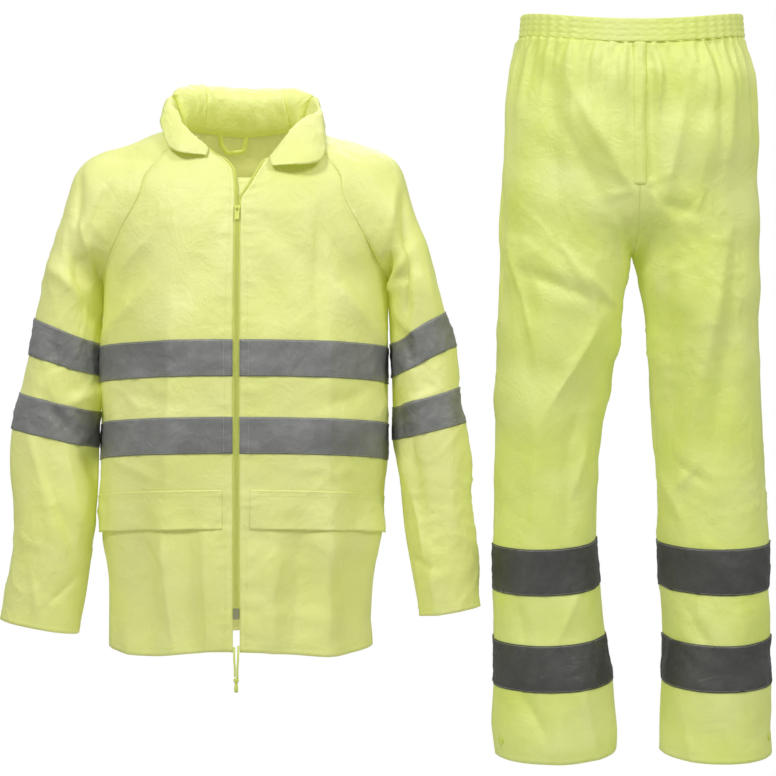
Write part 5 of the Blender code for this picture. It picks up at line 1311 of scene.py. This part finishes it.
LOOP_OUTLINE = (
    (-0.0375, 0.0340), (-0.0365, 0.0165), (-0.0355, 0.0140), (-0.0300, 0.0065), (-0.0275, 0.0050),
    (-0.0240, 0.0046), (-0.0080, 0.0066), (-0.0050, 0.0076), (-0.0035, 0.0100), (0.0020, 0.0340),
)
LOOP_WIDTH = 0.0066


def smooth_path(points, count):
    """Even places on a curve through the given points."""
    points = np.array(points)
    places = np.linspace(0.0, 1.0, len(points))
    at = np.linspace(0.0, 1.0, count)
    return np.stack([smooth(at, places, points[:, i].copy()) for i in range(points.shape[1])], axis=-1)


def along_path(points, count):
    """Even places along the straight lines between the given points."""
    points = np.array(points)
    steps = np.linalg.norm(np.diff(points, axis=0), axis=1)
    places = np.concatenate([[0.0], np.cumsum(steps)])
    at = np.linspace(0.0, places[-1], count)
    return np.stack([np.interp(at, places, points[:, i]) for i in range(points.shape[1])], axis=-1)


def hanger_loop():
    """The tape loop inside the back of the neck: a flat ribbon along its outline."""
    outline = along_path(LOOP_OUTLINE, 60)
    spots = [body_spot("back", x, z) for x, z in outline]
    path = np.array([point - normal * 0.0035 for point, normal in spots])
    path[:, 0], path[:, 2] = outline[:, 0], outline[:, 1]
    inwards = -np.array([normal for _, normal in spots])
    for _ in range(4):
        path[1:-1, 1] = (path[:-2, 1] + path[1:-1, 1] * 2 + path[2:, 1]) / 4
    ahead = unit(np.gradient(path, axis=0))
    side = unit(np.cross(ahead, inwards))
    strip = np.stack([path - side * LOOP_WIDTH / 2, path, path + side * LOOP_WIDTH / 2], axis=1)
    item = shell("hanger_loop_tape", strip, ("loop_tape",), 0.0008, outward=True)
    sewn(item, "jacket_cloth", "hanger_loop")


def zip_guard():
    """The underlap behind the zip, which fills the opened neck up to its own top edge."""
    heights = np.linspace(GUARD_FOOT, GUARD_TOP, 120)[:, None]
    across = np.linspace(0.0, 1.0, 17)[None, :]
    left = look_up(EDGE_ROWS, EDGE_COLUMNS, "left", heights) + GUARD_LAP
    right = look_up(EDGE_ROWS, EDGE_COLUMNS, "right", heights) + GUARD_LAP
    x = -left + (left + right) * across
    z = heights + 0 * x
    width = np.where(x < 0, look_up(BODY_ROWS, BODY_COLUMNS, "left", z),
                     look_up(BODY_ROWS, BODY_COLUMNS, "right", z))
    depth = look_up(BODY_ROWS, BODY_COLUMNS, "front", z)
    points = np.stack([x, -depth * np.sqrt(1 - (x / width) ** 2), z], axis=-1)
    points = points - grid_normals(points) * GUARD_DEPTH
    wave = 0.0007 * waves_at(points, 81, 0.045)
    points = points - grid_normals(points) * np.abs(wave)[..., None]
    item = sewn(shell("zip_guard_cloth", points, ("jacket", "lining")), "jacket_cloth", "zip_guard")
    cut_cloth(item, points)
    lines = [line_on(points, grid_normals(points), (117.5, 117.5), (0.5, 15.5), 0.0003, STITCH_PITCH)]
    stitching("zip_guard_stitches", lines, "jacket_cloth")


TOOTH_PITCH = 0.00135
TOOTH_REACH = 0.0034
TOOTH_WIDTH = 0.0008
TOOTH_DEPTH = 0.0011
TOOTH_STAND = -0.0002


def zip_half(name):
    """Half a zip on its front's edge: a woven tape, its rib, and a row of rounded coil turns."""
    panel = "front_" + name
    grid, out_grid = PANELS[panel], NORMALS[panel]
    levels = body_levels()
    first = int(np.searchsorted(levels, ZIP_FOOT))
    path = grid[first:, 0]
    across = unit(grid[first:, 1] - path)
    out = out_grid[first:, 0]
    out = unit(out - across * np.sum(out * across, axis=1, keepdims=True))
    reach = ZIP_GAP / 2 - 0.0002
    offsets = np.array((-reach, -reach + 0.0012, -0.0025, 0.0, 0.0050, 0.0090))
    depth = np.array((-0.0012, -0.0007, -0.0008, -0.0011, -0.0019, -0.0019))
    tape = path[:, None] + across[:, None] * offsets[None, :, None] + out[:, None] * depth[None, :, None]
    item = shell("zip_" + name + "_tape", tape, ("zip_tape",), 0.0005, flip=name == "left")
    sewn(item, "zip_tape", "zip_" + name)
    cut_cloth(item, tape)
    middle = path - across * (reach - TOOTH_REACH / 2 + 0.0006) + out * TOOTH_STAND
    run = np.concatenate([[0.0], np.cumsum(np.linalg.norm(np.diff(middle, axis=0), axis=1))])
    shift = 0.0 if name == "left" else TOOTH_PITCH / 2
    at = np.arange(shift, run[-1] - TOOTH_PITCH, TOOTH_PITCH)
    centres = np.stack([np.interp(at, run, middle[:, i]) for i in range(3)], axis=-1)
    sides = unit(np.stack([np.interp(at, run, across[:, i]) for i in range(3)], axis=-1))
    fronts = unit(np.stack([np.interp(at, run, out[:, i]) for i in range(3)], axis=-1))
    ups = np.cross(sides, fronts)
    corners, faces = tooth_shape()
    points = (centres[:, None] + sides[:, None] * corners[None, :, :1] + ups[:, None] * corners[None, :, 1:2]
              + fronts[:, None] * corners[None, :, 2:])
    every = (np.arange(len(at))[:, None, None] * len(corners) + faces[None]).reshape(-1, 4)
    mesh = bpy.data.meshes.new("zip_" + name + "_coil")
    mesh.from_pydata(points.reshape(-1, 3).tolist(), [], every.tolist())
    mesh.validate()
    turn_outwards(mesh)
    mesh.shade_smooth()
    sewn(placed("zip_" + name + "_coil", mesh, ("coil",)), "zip_tape")


def tooth_shape():
    """One turn of the coil: a bar with narrowed ends, as three rings of four corners and caps."""
    rings = ((-1.0, 0.55), (-0.6, 1.0), (0.6, 1.0), (1.0, 0.55))
    corners = [(a * TOOTH_REACH / 2, s * b * TOOTH_WIDTH / 2, t * b * TOOTH_DEPTH / 2)
               for a, b in rings for s, t in ((-1, -1), (1, -1), (1, 1), (-1, 1))]
    faces = [(r * 4 + i, r * 4 + (i + 1) % 4, r * 4 + 4 + (i + 1) % 4, r * 4 + 4 + i)
             for r in range(len(rings) - 1) for i in range(4)]
    last = 4 * (len(rings) - 1)
    faces += [(3, 2, 1, 0), (last, last + 1, last + 2, last + 3)]
    return np.array(corners), np.array(faces)


def turn_outwards(mesh):
    """Turn a closed mesh's faces outwards."""
    work = bmesh.new()
    work.from_mesh(mesh)
    bmesh.ops.recalc_face_normals(work, faces=work.faces)
    work.to_mesh(mesh)
    work.free()


def turned(profile, sides, centre, axis):
    """A profile of radii and heights turned round an axis, as a grid of rings."""
    axis = unit(np.asarray(axis, dtype=float))
    helper = np.array((0.0, 0.0, 1.0)) if abs(axis[2]) < 0.9 else np.array((1.0, 0.0, 0.0))
    first = unit(np.cross(helper, axis))
    second = np.cross(axis, first)
    angle = np.linspace(0.0, 2 * math.pi, sides, endpoint=False)
    ring = np.cos(angle)[:, None] * first + np.sin(angle)[:, None] * second
    return np.array([centre + axis * h + ring * r for r, h in profile])


STUD_PROFILE = (
    (0.0001, -0.0004), (0.0052, -0.0004), (0.0054, 0.0002), (0.0050, 0.0009), (0.0042, 0.0012),
    (0.0035, 0.0010), (0.0028, 0.0011), (0.0014, 0.0014), (0.0001, 0.0014),
)


def press_studs():
    """A press stud at each hem: a domed cap with a rolled rim."""
    for name in ("left", "right"):
        low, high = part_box("press_stud_" + name)
        middle = np.array((low + high) / 2)
        point, normal = body_spot("trouser_front_" + name, middle[0], middle[2])
        grid = turned(STUD_PROFILE, 28, point + normal * 0.0008, normal)
        mesh = grid_mesh("press_stud_" + name + "_cap", grid, ring=True)
        item = placed("press_stud_" + name + "_cap", mesh, ("stud",))
        close_ends(item.data)
        sewn(item, "stud", "press_stud_" + name)


def soft_crotch(points, level, across):
    """Round off the step where leg turns to hip: each row drawn to the mean of its neighbours.

    The weight is a bell round the crotch that falls to nought at the inside seam.
    """
    weight = np.exp(-((level - CROTCH) / CROTCH_SOFT) ** 2) * (1 - across ** 6)
    points = points.copy()
    for _ in range(CROTCH_ROUNDS):
        middle = (points[:-2] + points[2:]) / 2 - points[1:-1]
        points[1:-1] += middle * weight[1:-1, :, None] * 0.9
    return points


def trouser_panel(name, part):
    """A trouser panel: its form, the gathers below the waistband, its folds and small creases."""
    half = 1 if part == "front" else -1
    flip = not ((name == "left") == (half == 1))
    levels = leg_levels()
    across = np.linspace(0.0, 1.0, LEG_STEPS + 1)
    row = levels[:, None] + 0 * across[None, :]
    column_place = across[None, :] + 0 * row
    points = soft_crotch(leg_point(name, half, column_place, row), row, column_place)
    normals = grid_normals(points) * (-1.0 if flip else 1.0)
    flat = unit(normals * np.array((1.0, 1.0, 0.0)))
    draw = np.random.default_rng(91 + 2 * (name == "left") + (half == 1))
    count = WAIST_GATHERS // 4
    depth = np.interp(across * count, np.arange(count + 1), draw.uniform(0.5, 1.25, count + 1))
    length = np.interp(across * count, np.arange(count + 1), draw.uniform(0.55, 1.5, count + 1))
    sway = 0.25 * np.interp(across * count, np.arange(count + 1), draw.uniform(-1, 1, count + 1))
    below = (WAIST_SEAM - row)
    place = column_place * count + sway[None, :] * below / 0.08
    wave = 1.3 - 2.0 * np.abs(np.sin(math.pi * place)) ** 0.75
    fall = np.exp(-(below / (GATHER_REACH * length[None, :])) ** 1.3) * ease(below / 0.007 + 0.2)
    height = GATHER_HEIGHT * wave * depth[None, :] * fall
    ripple = np.cos(2 * math.pi * (column_place * count * 0.5 + sway[None, :]))
    ripple = ripple * np.exp(-(below / RIPPLE_REACH) ** 2)
    height = height + RIPPLE_HEIGHT * ripple * ease(below / 0.03)
    fade = seam_fade(points, reach=0.010)
    points = points + flat * (height * fade)[..., None]
    folds = LEG_FOLDS if half == 1 else LEG_BACK_FOLDS
    points = points + normals * (folds_at(points, folds, -half) * fade)[..., None]
    points = crumpled(points, 101 if half == 1 else 107, 1.0, flip, fade)
    panel = "trouser_" + part + "_" + name
    keep(panel, points, flip)
    item = shell(panel + "_cloth", points, ("trousers", "lining"), flip=flip)
    sewn(item, "trouser_cloth", panel)
    return cut_cloth(item, points)


def leg_tapes():
    """Two wide tapes round each leg, closed at the inside seam."""
    levels = leg_levels()
    for name in ("left", "right"):
        flip = name == "right"
        for height, top in (("upper", LEG_UPPER_TAPE_TOP), ("lower", LEG_LOWER_TAPE_TOP)):
            rows = np.interp((top - REFLECTIVE_TROUSERS, top), levels, np.arange(len(levels)))
            front = strip_on("trouser_front_" + name, rows, (0.0, LEG_STEPS), 16, LEG_STEPS, LAY)
            back = strip_on("trouser_back_" + name, rows, (0.0, LEG_STEPS), 16, LEG_STEPS, LAY)
            ring = np.concatenate([front, back[:, -2:0:-1]], axis=1)
            normals = grid_normals(ring, ring=True) * (-1.0 if flip else 1.0)
            ring = ring + normals * (0.0009 * creases_at(ring, 111, 0.055))[..., None]
            label = "leg_tape_" + height + "_" + name
            item = shell(label + "_film", ring, ("dark_tape",), TAPE, flip=flip, ring=True, outward=True)
            sewn(item, "reflective_tape", label)
            cut_cloth(item, ring, ring=True)
            lines = [line_on(PANELS["trouser_" + part + "_" + name], NORMALS["trouser_" + part + "_" + name],
                             (row, row), (0.0, LEG_STEPS), LAY + TAPE + 0.0006, STITCH_PITCH)
                     for part in ("front", "back") for row in (rows[0] + 0.4, rows[1] - 0.4)]
            stitching(label + "_stitches", lines, "reflective_tape", "pale_thread")


def waistband():
    """The elastic waistband: gathers between its seam and top, pinched by rows of shirring."""
    columns = WAIST_GATHERS * BAND_STEPS
    angle = (np.arange(columns) * 2 * math.pi / columns)[None, :]
    t = np.linspace(0.0, 1.0, BAND_HEIGHT_STEPS + 1)[:, None]
    height = WAIST_SEAM + (WAIST_TOP - WAIST_SEAM) * t
    left = look_up(HIP_ROWS, HIP_COLUMNS, "left", height)
    right = look_up(HIP_ROWS, HIP_COLUMNS, "right", height)
    width = np.where(np.cos(angle) < 0, left, right)
    depth = np.where(np.sin(angle) < 0, look_up(HIP_ROWS, HIP_COLUMNS, "front", height),
                     look_up(HIP_ROWS, HIP_COLUMNS, "back", height))
    puff = np.abs(np.sin(t * math.pi * 4)) ** 0.7
    phase = 0.5 * np.sin(angle * 7.0) + 0.4 * np.sin(angle * 3.0 + t * 2.0)
    wave = np.cos(WAIST_GATHERS * angle + phase)
    radial = BAND_GATHER * wave * (0.35 + 0.65 * puff) + BAND_PUFF * puff - BAND_SEAT
    size = 1.0 + radial / 0.130
    dip = np.where(np.sin(angle) < 0, WAIST_DIP_FRONT, WAIST_DIP_BACK) * np.sin(angle) ** 2
    points = np.stack([TROUSERS_X + width * size * np.cos(angle), depth * size * np.sin(angle),
                       height - dip + 0 * angle], axis=-1)
    item = shell("waistband_cloth", points, ("trousers", "lining"), ring=True)
    sewn(item, "trouser_cloth", "waistband")
    cut_cloth(item, points, ring=True)
    closed = np.concatenate([points, points[:, :1]], axis=1)
    normals = grid_normals(closed)
    lines = [line_on(closed, normals, (row, row), (0.0, columns), STITCH_LIFT, STITCH_PITCH)
             for row in (BAND_HEIGHT_STEPS * 0.25, BAND_HEIGHT_STEPS * 0.5, BAND_HEIGHT_STEPS * 0.75)]
    stitching("waistband_stitches", lines, "trouser_cloth")


def fly_strip():
    """The strip stitched over the centre front seam."""
    levels = leg_levels()
    rows = np.interp((FLY_FOOT, WAIST_SEAM), levels, np.arange(len(levels)))
    halves = []
    for name in ("left", "right"):
        panel = "trouser_front_" + name
        grid, out = PANELS[panel], NORMALS[panel]
        r = np.linspace(*rows, 60)
        last = grid.shape[1] - 1
        step = np.linalg.norm(read_grid(grid, r, r * 0 + last) - read_grid(grid, r, r * 0 + last - 1), axis=1)
        cols = last - np.linspace(0.0, 1.0, 5)[None, :] * (FLY_HALF / step)[:, None]
        r = r[:, None] + 0 * cols
        lay = np.array(FLY_LAY)[None, :, None] - 0.0007 * (np.arange(60) < 1)[:, None, None]
        halves.append(read_grid(grid, r, cols) + unit(read_grid(out, r, cols)) * lay)
    strip = np.concatenate([halves[0][:, ::-1], halves[1][:, 1:]], axis=1)
    strip = tape_crinkle(strip, False, 121, 0.0003)
    item = shell("fly_strip_cloth", strip, ("trousers",), FLAP_CLOTH, outward=True)
    sewn(item, "trouser_cloth", "fly_strip")
    cut_cloth(item, strip)
    normals = grid_normals(strip)
    lines = [line_on(strip, normals, (1.0, 58.0), (col, col), 0.0007, STITCH_PITCH) for col in (0.9, 7.1)]
    lines.append(line_on(strip, normals, (1.0, 1.0), (0.9, 7.1), 0.0007, STITCH_PITCH))
    stitching("fly_strip_stitches", lines, "trouser_cloth")


def hems_and_seams():
    """Topstitching along the hems, cuffs, raglan seams, zip edges, side seams and forearms."""
    body_rows = len(body_levels()) - 1
    armpit_row = BODY_ROWS_LOW
    for name in ("left", "right"):
        panel = "front_" + name
        grid, out = PANELS[panel], NORMALS[panel]
        lines = [
            line_on(grid, out, (2.2, 2.2), (0.0, FRONT_STEPS), STITCH_LIFT, STITCH_PITCH),
            line_on(grid, out, (0.0, body_rows - 1.0), (2.8, 2.8), STITCH_LIFT, STITCH_PITCH),
            line_on(grid, out, (armpit_row, body_rows), (FRONT_STEPS - 2.2,) * 2, STITCH_LIFT, STITCH_PITCH),
        ]
        stitching(panel + "_stitches", lines, "jacket_cloth")
        panel = "sleeve_" + name
        grid, out = PANELS[panel], NORMALS[panel]
        forearm = float(np.interp(FOREARM_STITCH, sleeve_places(), np.arange(len(sleeve_places()))))
        lines = [
            line_on(grid, out, (2.4, 2.4), (0.0, SLEEVE_STEPS), STITCH_LIFT, STITCH_PITCH),
            line_on(grid, out, (forearm, forearm), (0.0, SLEEVE_STEPS), STITCH_LIFT, STITCH_PITCH),
        ]
        stitching(panel + "_stitches", lines, "jacket_cloth")
        for part in ("front", "back"):
            panel = "trouser_" + part + "_" + name
            grid, out = PANELS[panel], NORMALS[panel]
            lines = [
                line_on(grid, out, (2.6, 2.6), (0.0, LEG_STEPS), STITCH_LIFT, STITCH_PITCH),
                line_on(grid, out, (0.0, LEG_ROWS_COUNT * 0.62), (LEG_STEPS - 3.0,) * 2,
                        STITCH_LIFT, STITCH_PITCH),
            ]
            stitching(panel + "_stitches", lines, "trouser_cloth")
    grid, out = PANELS["back"], NORMALS["back"]
    lines = [line_on(grid, out, (2.2, 2.2), (0.0, 2 * BACK_STEPS), STITCH_LIFT, STITCH_PITCH)]
    lines += [line_on(grid, out, (armpit_row, body_rows), (col, col), STITCH_LIFT, STITCH_PITCH)
              for col in (2.2, 2 * BACK_STEPS - 2.2)]
    stitching("back_stitches", lines, "jacket_cloth")


CORD_DIAMETER = 0.0030
CORD_ROUTES = {
    "left": (
        (-0.0028, -0.1458, -0.6900), (-0.0028, -0.1480, -0.6960), (-0.0027, -0.1496, -0.7025),
        (-0.0024, -0.1502, -0.7090), (-0.0019, -0.1500, -0.7160), (-0.0017, -0.1495, -0.7230),
        (-0.0017, -0.1490, -0.7300),
    ),
    "right": (
        (0.0028, -0.1458, -0.6880), (0.0028, -0.1480, -0.6945), (0.0027, -0.1497, -0.7015),
        (0.0025, -0.1504, -0.7085), (0.0020, -0.1501, -0.7155), (0.0017, -0.1495, -0.7230),
        (0.0017, -0.1490, -0.7300),
    ),
}
KNOT_RADIUS = 0.0042


def tube_along(path, radius, sides, twist=0.0, lobes=0.0):
    """Rings carried along a path, with a twisting lobed outline that reads as a braid."""
    ahead = unit(np.gradient(path, axis=0))
    first = unit(np.cross(ahead, np.array((0.0, 1.0, 0.0))))
    second = np.cross(ahead, first)
    angle = np.linspace(0.0, 2 * math.pi, sides, endpoint=False)[None, :]
    run = np.concatenate([[0.0], np.cumsum(np.linalg.norm(np.diff(path, axis=0), axis=1))])[:, None]
    size = radius * (1.0 - lobes + lobes * np.cos(3 * angle + twist * run))
    return path[:, None] + first[:, None] * (size * np.cos(angle))[..., None] \
        + second[:, None] * (size * np.sin(angle))[..., None]


def drawcord():
    """The hem drawcord: two braided ends that meet in a knot, with a short brush below it."""
    knot = cord_knot()
    for name, route in CORD_ROUTES.items():
        path = smooth_path(route, 60)
        grid = tube_along(path, CORD_DIAMETER / 2, 14, 2600.0, 0.07)
        mesh = grid_mesh("cord_" + name + "_braid", grid, ring=True)
        item = placed("cord_" + name + "_braid", mesh, ("cord",))
        close_ends(item.data)
        sewn(item, "cord", "cord_" + name)


def cord_knot():
    """The knot: a strand wound twice round both ends, over a brush of loose yarn."""
    turns = np.linspace(0.0, 1.0, 90)
    angle = turns * 2.4 * 2 * math.pi
    middle = np.array((0.0, -0.1490, CORD_ROUTES["left"][-1][2] - 0.0003 - KNOT_RADIUS))
    spread = 0.0020 + 0.0008 * np.sin(turns * math.pi)
    coil = np.stack([middle[0] + spread * np.cos(angle), middle[1] + spread * np.sin(angle),
                     middle[2] + KNOT_RADIUS * 0.62 * (1 - 2 * turns) + 0.0006 * np.sin(angle * 2)], axis=-1)
    wound = tube_along(coil, 0.00125, 10, 2600.0, 0.08)
    mesh = grid_mesh("cord_knot_wrap", wound, ring=True)
    item = placed("cord_knot_wrap", mesh, ("cord",))
    close_ends(item.data)
    sewn(item, "cord", "cord_knot")
    profile = ((0.0002, 0.0030), (0.0017, 0.0024), (0.0021, 0.0), (0.0017, -0.0034), (0.0022, -0.0070),
               (0.0026, -0.0120), (0.0023, -0.0160), (0.0004, -0.0168))
    brush = turned(profile, 24, middle, (0.0, 0.0, 1.0))
    reach = np.array([r for r, _ in profile])[:, None]
    spokes = 0.00018 * np.cos(np.arange(24) * math.pi)[None, :] * reach / 0.0026
    brush = brush + unit(brush - brush.mean(axis=1, keepdims=True)) * spokes[..., None]
    mesh = grid_mesh("cord_knot_brush", brush[::-1], ring=True)
    tail = placed("cord_knot_brush", mesh, ("cord",))
    close_ends(tail.data)
    sewn(tail, "cord")
    return item


def rigid_fittings():
    """The slider, its pull tab and the end patch keep their CAD meshes and take a finish."""
    for name, finish in (("zip_slider", "enamel"), ("zip_pull", "enamel"), ("zip_end_patch", "patch")):
        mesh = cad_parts[name].data
        mesh.materials.clear()
        mesh.materials.append(FINISHES[finish])


def studio():
    """A pale floor, soft light from above and both sides, and the camera."""
    finish = bpy.data.materials.new("pale_floor")
    finish.use_nodes = True
    shader = finish.node_tree.nodes["Principled BSDF"]
    shader.inputs["Base Color"].default_value = (FLOOR_GREY, FLOOR_GREY, FLOOR_GREY, 1.0)
    shader.inputs["Roughness"].default_value = 0.9
    height = TROUSER_HEM - FLOOR_BELOW
    left, right, near, far = CAMERA_X - FLOOR_HALF, CAMERA_X + FLOOR_HALF, -FLOOR_HALF, FLOOR_HALF
    mesh = bpy.data.meshes.new("floor")
    mesh.from_pydata([(left, near, height), (right, near, height), (right, far, height), (left, far, height)],
                     [], [(0, 1, 2, 3)])
    floor = bpy.data.objects.new("floor", mesh)
    bpy.context.scene.collection.objects.link(floor)
    mesh.materials.append(finish)
    world = bpy.data.worlds.new("studio")
    bpy.context.scene.world = world
    world.use_nodes = True
    tree = world.node_tree
    light = tree.nodes["Background"]
    light.inputs["Color"].default_value = (1.0, 1.0, 1.0, 1.0)
    look = tree.nodes.new("ShaderNodeTexCoord")
    split = tree.nodes.new("ShaderNodeSeparateXYZ")
    rise = tree.nodes.new("ShaderNodeMapRange")
    rise.inputs["From Min"].default_value = -0.5
    rise.inputs["From Max"].default_value = 0.7
    rise.inputs["To Min"].default_value = WORLD_BELOW
    rise.inputs["To Max"].default_value = WORLD_ABOVE
    tree.links.new(look.outputs["Generated"], split.inputs["Vector"])
    tree.links.new(split.outputs["Z"], rise.inputs["Value"])
    tree.links.new(rise.outputs["Result"], light.inputs["Strength"])
    seen = tree.nodes.new("ShaderNodeBackground")
    seen.inputs["Color"].default_value = (1.0, 1.0, 1.0, 1.0)
    seen.inputs["Strength"].default_value = 1.0
    path = tree.nodes.new("ShaderNodeLightPath")
    mix = tree.nodes.new("ShaderNodeMixShader")
    tree.links.new(path.outputs["Is Camera Ray"], mix.inputs["Fac"])
    tree.links.new(light.outputs["Background"], mix.inputs[1])
    tree.links.new(seen.outputs["Background"], mix.inputs[2])
    tree.links.new(mix.outputs["Shader"], tree.nodes["World Output"].inputs["Surface"])
    for name, place, aim, power, wide in LAMPS:
        lamp = bpy.data.lights.new(name, "AREA")
        lamp.energy = power
        lamp.size = wide
        item = bpy.data.objects.new(name, lamp)
        item.location = place
        item.rotation_mode = "QUATERNION"
        item.rotation_quaternion = (Vector(aim) - Vector(place)).to_track_quat("-Z", "Y")
        bpy.context.scene.collection.objects.link(item)
    lens = bpy.data.cameras.new("camera")
    lens.sensor_width = 36.0
    lens.lens = 36.0 * CAMERA_DISTANCE / FRAME_WIDTH
    camera = bpy.data.objects.new("camera", lens)
    camera.location = (CAMERA_X, -CAMERA_DISTANCE, CAMERA_Z)
    camera.rotation_euler = (math.pi / 2, 0.0, 0.0)
    bpy.context.scene.collection.objects.link(camera)
    bpy.context.scene.camera = camera
    bpy.context.scene.view_settings.view_transform = "Standard"


studio()
drawcord()
jacket_front("left")
jacket_front("right")
jacket_back()
jacket_sleeve("left")
jacket_sleeve("right")
body_tapes()
sleeve_tapes()
pocket_flaps()
collar_and_hood()
hanger_loop()
zip_guard()
zip_half("left")
zip_half("right")
for side_name in ("left", "right"):
    for half_name in ("front", "back"):
        trouser_panel(side_name, half_name)
leg_tapes()
waistband()
fly_strip()
press_studs()
hems_and_seams()
rigid_fittings()
